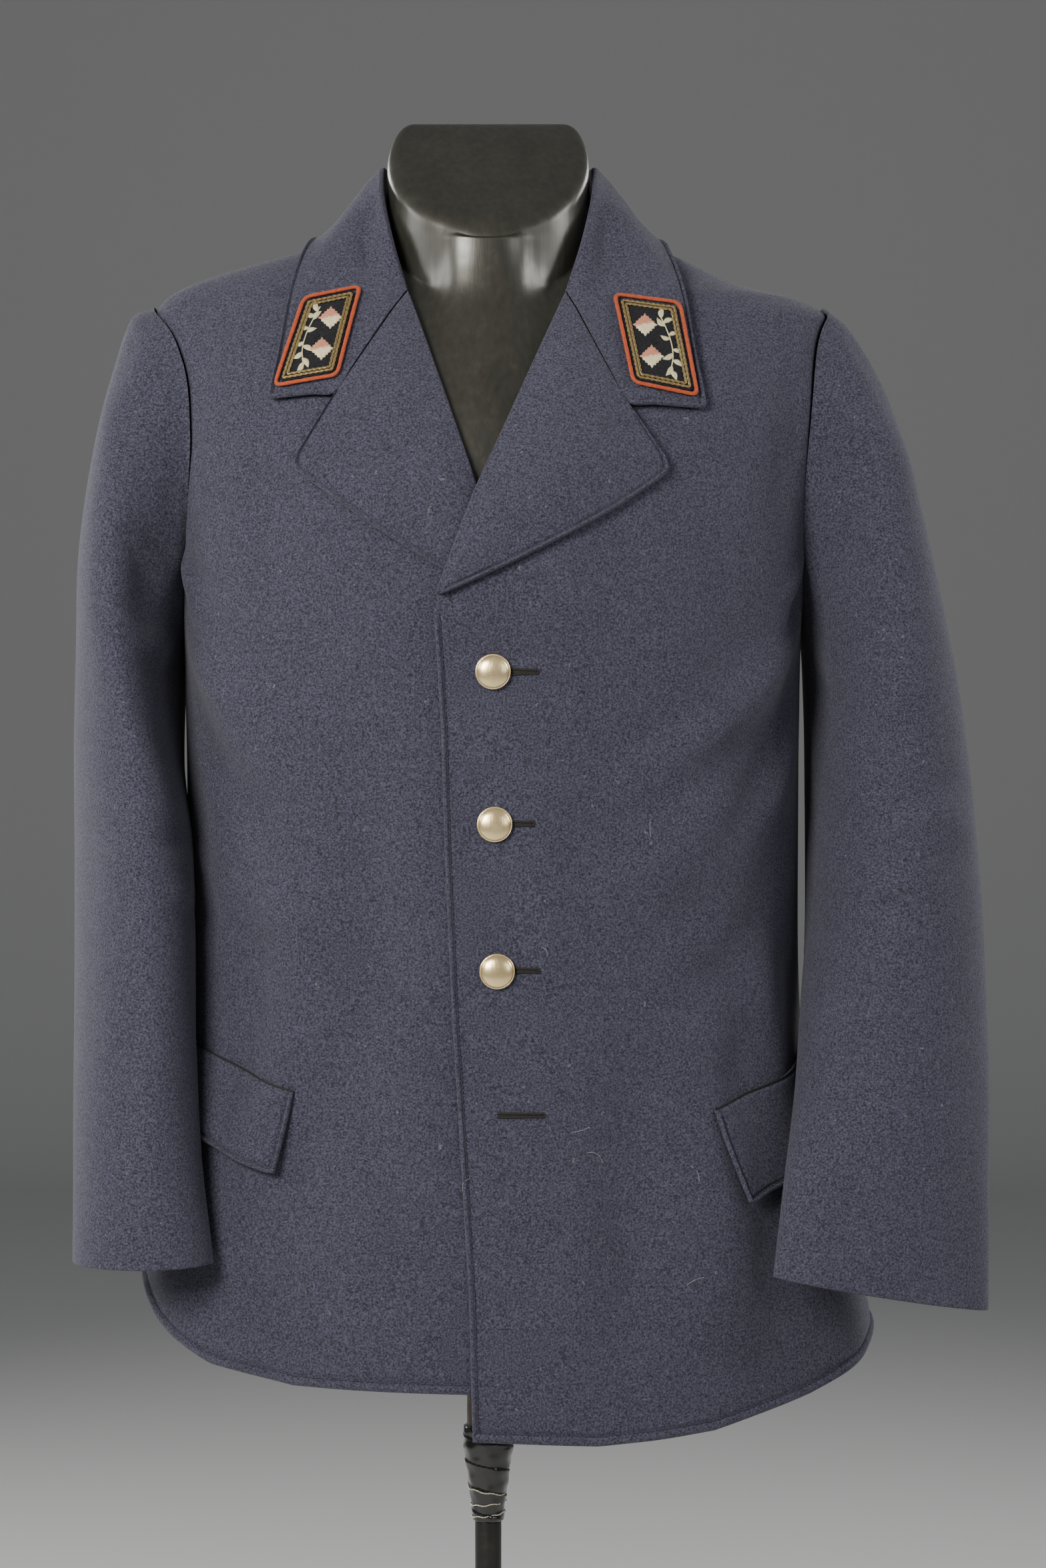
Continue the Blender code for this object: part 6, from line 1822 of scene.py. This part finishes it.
def make_stand():
    """Round base, lower pole, tape-wound joint with string round its foot, and the rod."""
    edge = BASE_RADIUS - BASE_CHAMFER
    profile = [(0.001, 0), (edge, 0), (BASE_RADIUS, BASE_CHAMFER), (BASE_RADIUS, BASE_THICK - BASE_CHAMFER)]
    profile += [(radius, BASE_THICK + rise) for radius, rise in BASE_TOP]
    solid = turned(*rounded_profile(profile, BASE_ROUND), 128)
    base = add_piece("base_plate", [solid], base_finish)
    low, high = BASE_THICK + BASE_DOME + STACK_GAP, JOINT_BOTTOM_Z - STACK_GAP
    pole = add_bar("lower_pole", POLE_RADIUS, low, high, 48, pole_finish)
    low, high = JOINT_BOTTOM_Z, ROD_BOTTOM_Z - STACK_GAP
    foot, top = JOINT_BOTTOM_RADIUS, JOINT_TOP_RADIUS
    height = np.linspace(low + 0.0004, high - 0.0004, 90)
    ankle, waist = low + JOINT_ANKLE, high - JOINT_SHOULDER
    radius = np.interp(height, [low, ankle, waist, high], [foot, foot + 0.0003, top, top])
    radius = np.concatenate([[0.0008, foot - BAR_ROUND], radius, [top - BAR_ROUND, 0.0008]])
    height = np.concatenate([[low, low], height, [high, high]])
    joint = add_piece("joint_tape", [turned(radius, height, 72, swell=tape_swell)], tape)
    low, high = ROD_BOTTOM_Z, FORM_BOTTOM_Z - FORM_BOTTOM_DROP - STACK_GAP
    rod = add_bar("upper_rod", ROD_RADIUS, low, high, 64, rod_finish)
    for piece, part in ((base, "base"), (pole, "pole"), (joint, "joint"), (rod, "rod")):
        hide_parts("stand_" + part)
    turns = []
    ends = np.sin(np.linspace(0.15, math.pi - 0.15, STRING_RINGS)) ** 0.25
    for level, tilt, start, sweep in STRINGS:
        angle = np.linspace(start, start + sweep, STRING_RINGS)
        height = level + tilt * np.sin(angle) + 0.0004 * np.sin(angle * 7)
        wide = read_line(STRING_SEAT, height) + STRING_LIFT
        path = np.stack([wide * np.sin(angle), -wide * np.cos(angle), height], axis=-1)
        thick = STRING_RADIUS * (1 + 0.3 * np.sin(angle * 31)) * ends
        turns.append(tube(path, np.tile([0.0, 0.0, 1.0], (STRING_RINGS, 1)), thick, thick, 6))
    add_piece("joint_string", turns, string)


def make_hairs(place, rng):
    """Loose pale hairs on the front: short bowed threads at seeded places."""
    parts = []
    for _ in range(HAIRS):
        start = np.array([rng.uniform(*HAIR_X), rng.uniform(*HAIR_Z)])
        heading, length, bow = rng.uniform(0, math.pi), rng.uniform(*HAIR_LENGTH), rng.uniform(*HAIR_BOW)
        t = np.linspace(0, 1, 12)
        way = np.array([math.cos(heading), math.sin(heading)])
        side = np.array([-way[1], way[0]])
        plan = start + (t * length)[:, None] * way + (bow * length * np.sin(math.pi * t))[:, None] * side
        path, up = place(plan, HAIR_LIFT + HAIR_ARCH * np.sin(math.pi * t))
        parts.append(tube(path, up, HAIR_RADIUS, HAIR_RADIUS, 4))
    return add_piece("lint_hairs", parts, lint_hair)


panels, sewn = make_panels()
sleeve_right, line = make_sleeve("sleeve_right", 1, SLEEVE_RIGHT, CREASES_RIGHT)
cuff_lines = [line]
sleeve_left, line = make_sleeve("sleeve_left", -1, SLEEVE_LEFT, CREASES_LEFT)
cuff_lines.append(line)
lapel_over, over_line = make_lapel("lapel_over", LAPEL_OVER, over_lift)
lapel_under, under_line = make_lapel("lapel_under", LAPEL_UNDER, no_lift)
collar, fall, fall_normals, collar_lines = make_collar()
flap_left, flap_lines, left_shadow_path = make_flap(*FLAPS[0])
flap_right, more_lines, right_shadow_path = make_flap(*FLAPS[1])

body_sewing = sew("sewing_body", sewn)
cuff_sewing = sew("sewing_cuffs", cuff_lines)
lapel_sewing = sew("sewing_lapels", (over_line, under_line))
collar_sewing = sew("sewing_collar", collar_lines)
flap_sewing = sew("sewing_flaps", flap_lines + more_lines)
# Dark cords sunk along the flaps' top seams: painted shadow lines where the flaps meet the fronts
flap_shadow_cords = [tube(*row, FLAP_SHADOW_HALF, FLAP_SHADOW_TALL, 6) for row in (left_shadow_path, right_shadow_path)]
flap_shadow_piece = add_piece("shadow_cord_flaps", flap_shadow_cords, dark_thread_and_shade)

on_fall = laid_on(fall, fall_normals)
patch_left, trims_left = make_patch("left", PATCHES["left"], on_fall)
patch_right, trims_right = make_patch("right", PATCHES["right"], on_fall)
on_front = laid_on(panels["front_over"][1], panels["front_over"][2])
for number, (z, x) in enumerate(BUTTONS, start=1):
    make_button(number, z, x, on_front)
holes = [make_buttonhole(k, *row, on_front) for k, row in enumerate(BUTTONHOLES, start=1)]
hairs = make_hairs(on_front, np.random.default_rng(HAIR_SEED))
make_form()
make_stand()


# Studio


# Soft lamps: name, place, aim, side of the square, power, colour
WHITE = (1.0, 1.0, 1.0)
LAMPS = (
    ("key", (-1.35, -2.15, 2.05), (0, 0, 1.2), 1.0, 76, (1.0, 0.98, 0.95)),
    ("fill", (1.9, -2.4, 1.9), (0, 0, 1.2), 1.2, 13, (0.95, 0.97, 1.0)),
    ("side_left", (-2.3, -0.55, 2.3), (0, 0, 1.4), 0.9, 18, WHITE),
    ("side_right", (2.3, -0.55, 2.3), (0, 0, 1.4), 0.9, 23, WHITE),
    ("rear_left", (-2.3, 2.1, 2.2), (0, 0, 1.1), 1.4, 60, WHITE),
    ("rear_right", (2.5, 1.9, 2.2), (0, 0, 1.1), 1.6, 50, WHITE),
)
PAPER = (0.62, 0.62, 0.61)
SKY = (0.86, 0.88, 0.92, 1)
SKY_STRENGTH = 0.15
FLOOR_HALF = 7.0  # half the floor's width
FLOOR_FRONT_Y = -9.0
SWEEP_Y = 7.0  # behind here the floor sweeps up
SWEEP_RADIUS = 1.5
BACKDROP_TOP_Z = 7.0


def add_light(name, place, aim, size, power, colour):
    """A soft square light at a place, turned to an aim."""
    lamp = bpy.data.lights.new(name, "AREA")
    lamp.shape = "SQUARE"
    lamp.size = size
    lamp.energy = power
    lamp.color = colour
    obj = bpy.data.objects.new(name, lamp)
    way = np.array(aim, float) - np.array(place, float)
    flat = math.hypot(way[0], way[1])
    obj.location = place
    obj.rotation_euler = (math.pi / 2 + math.atan2(way[2], flat), 0, math.atan2(way[1], way[0]) - math.pi / 2)
    bpy.context.scene.collection.objects.link(obj)


def make_studio():
    """Pale floor that sweeps up far behind, soft lights, pale surroundings and the photograph's lens."""
    level = np.linspace(FLOOR_FRONT_Y, SWEEP_Y, 9)
    arc = np.linspace(0, math.pi / 2, 13)[1:]
    run = np.concatenate([level, SWEEP_Y + SWEEP_RADIUS * np.sin(arc), [SWEEP_Y + SWEEP_RADIUS]])
    rise = np.concatenate([0 * level, SWEEP_RADIUS - SWEEP_RADIUS * np.cos(arc), [BACKDROP_TOP_Z]])
    x = np.array([-FLOOR_HALF, FLOOR_HALF])
    points = np.stack(np.broadcast_arrays(x, run[:, None], rise[:, None]), axis=-1)
    mesh = bpy.data.meshes.new("floor")
    mesh.from_pydata(points.reshape(-1, 3).tolist(), [], grid_faces(len(run), 2).tolist())
    mesh.shade_smooth()
    mesh.materials.append(new_material("pale_paper", PAPER, 0.9)[0])
    floor = bpy.data.objects.new("floor", mesh)
    bpy.context.scene.collection.objects.link(floor)
    world = bpy.data.worlds.new("surroundings")
    world.use_nodes = True
    background = world.node_tree.nodes["Background"]
    background.inputs["Color"].default_value = SKY
    background.inputs["Strength"].default_value = SKY_STRENGTH
    bpy.context.scene.world = world
    for lamp in LAMPS:
        add_light(*lamp)
    lens = bpy.data.cameras.new("lens")
    lens.sensor_width = SENSOR_WIDTH
    lens.lens = SENSOR_WIDTH * LENS_SHARE
    lens.clip_start, lens.clip_end = 0.05, 60
    camera = bpy.data.objects.new("lens", lens)
    camera.location = LENS_PLACE
    camera.rotation_euler = (math.pi / 2, 0, 0)
    bpy.context.scene.collection.objects.link(camera)
    bpy.context.scene.camera = camera


make_studio()
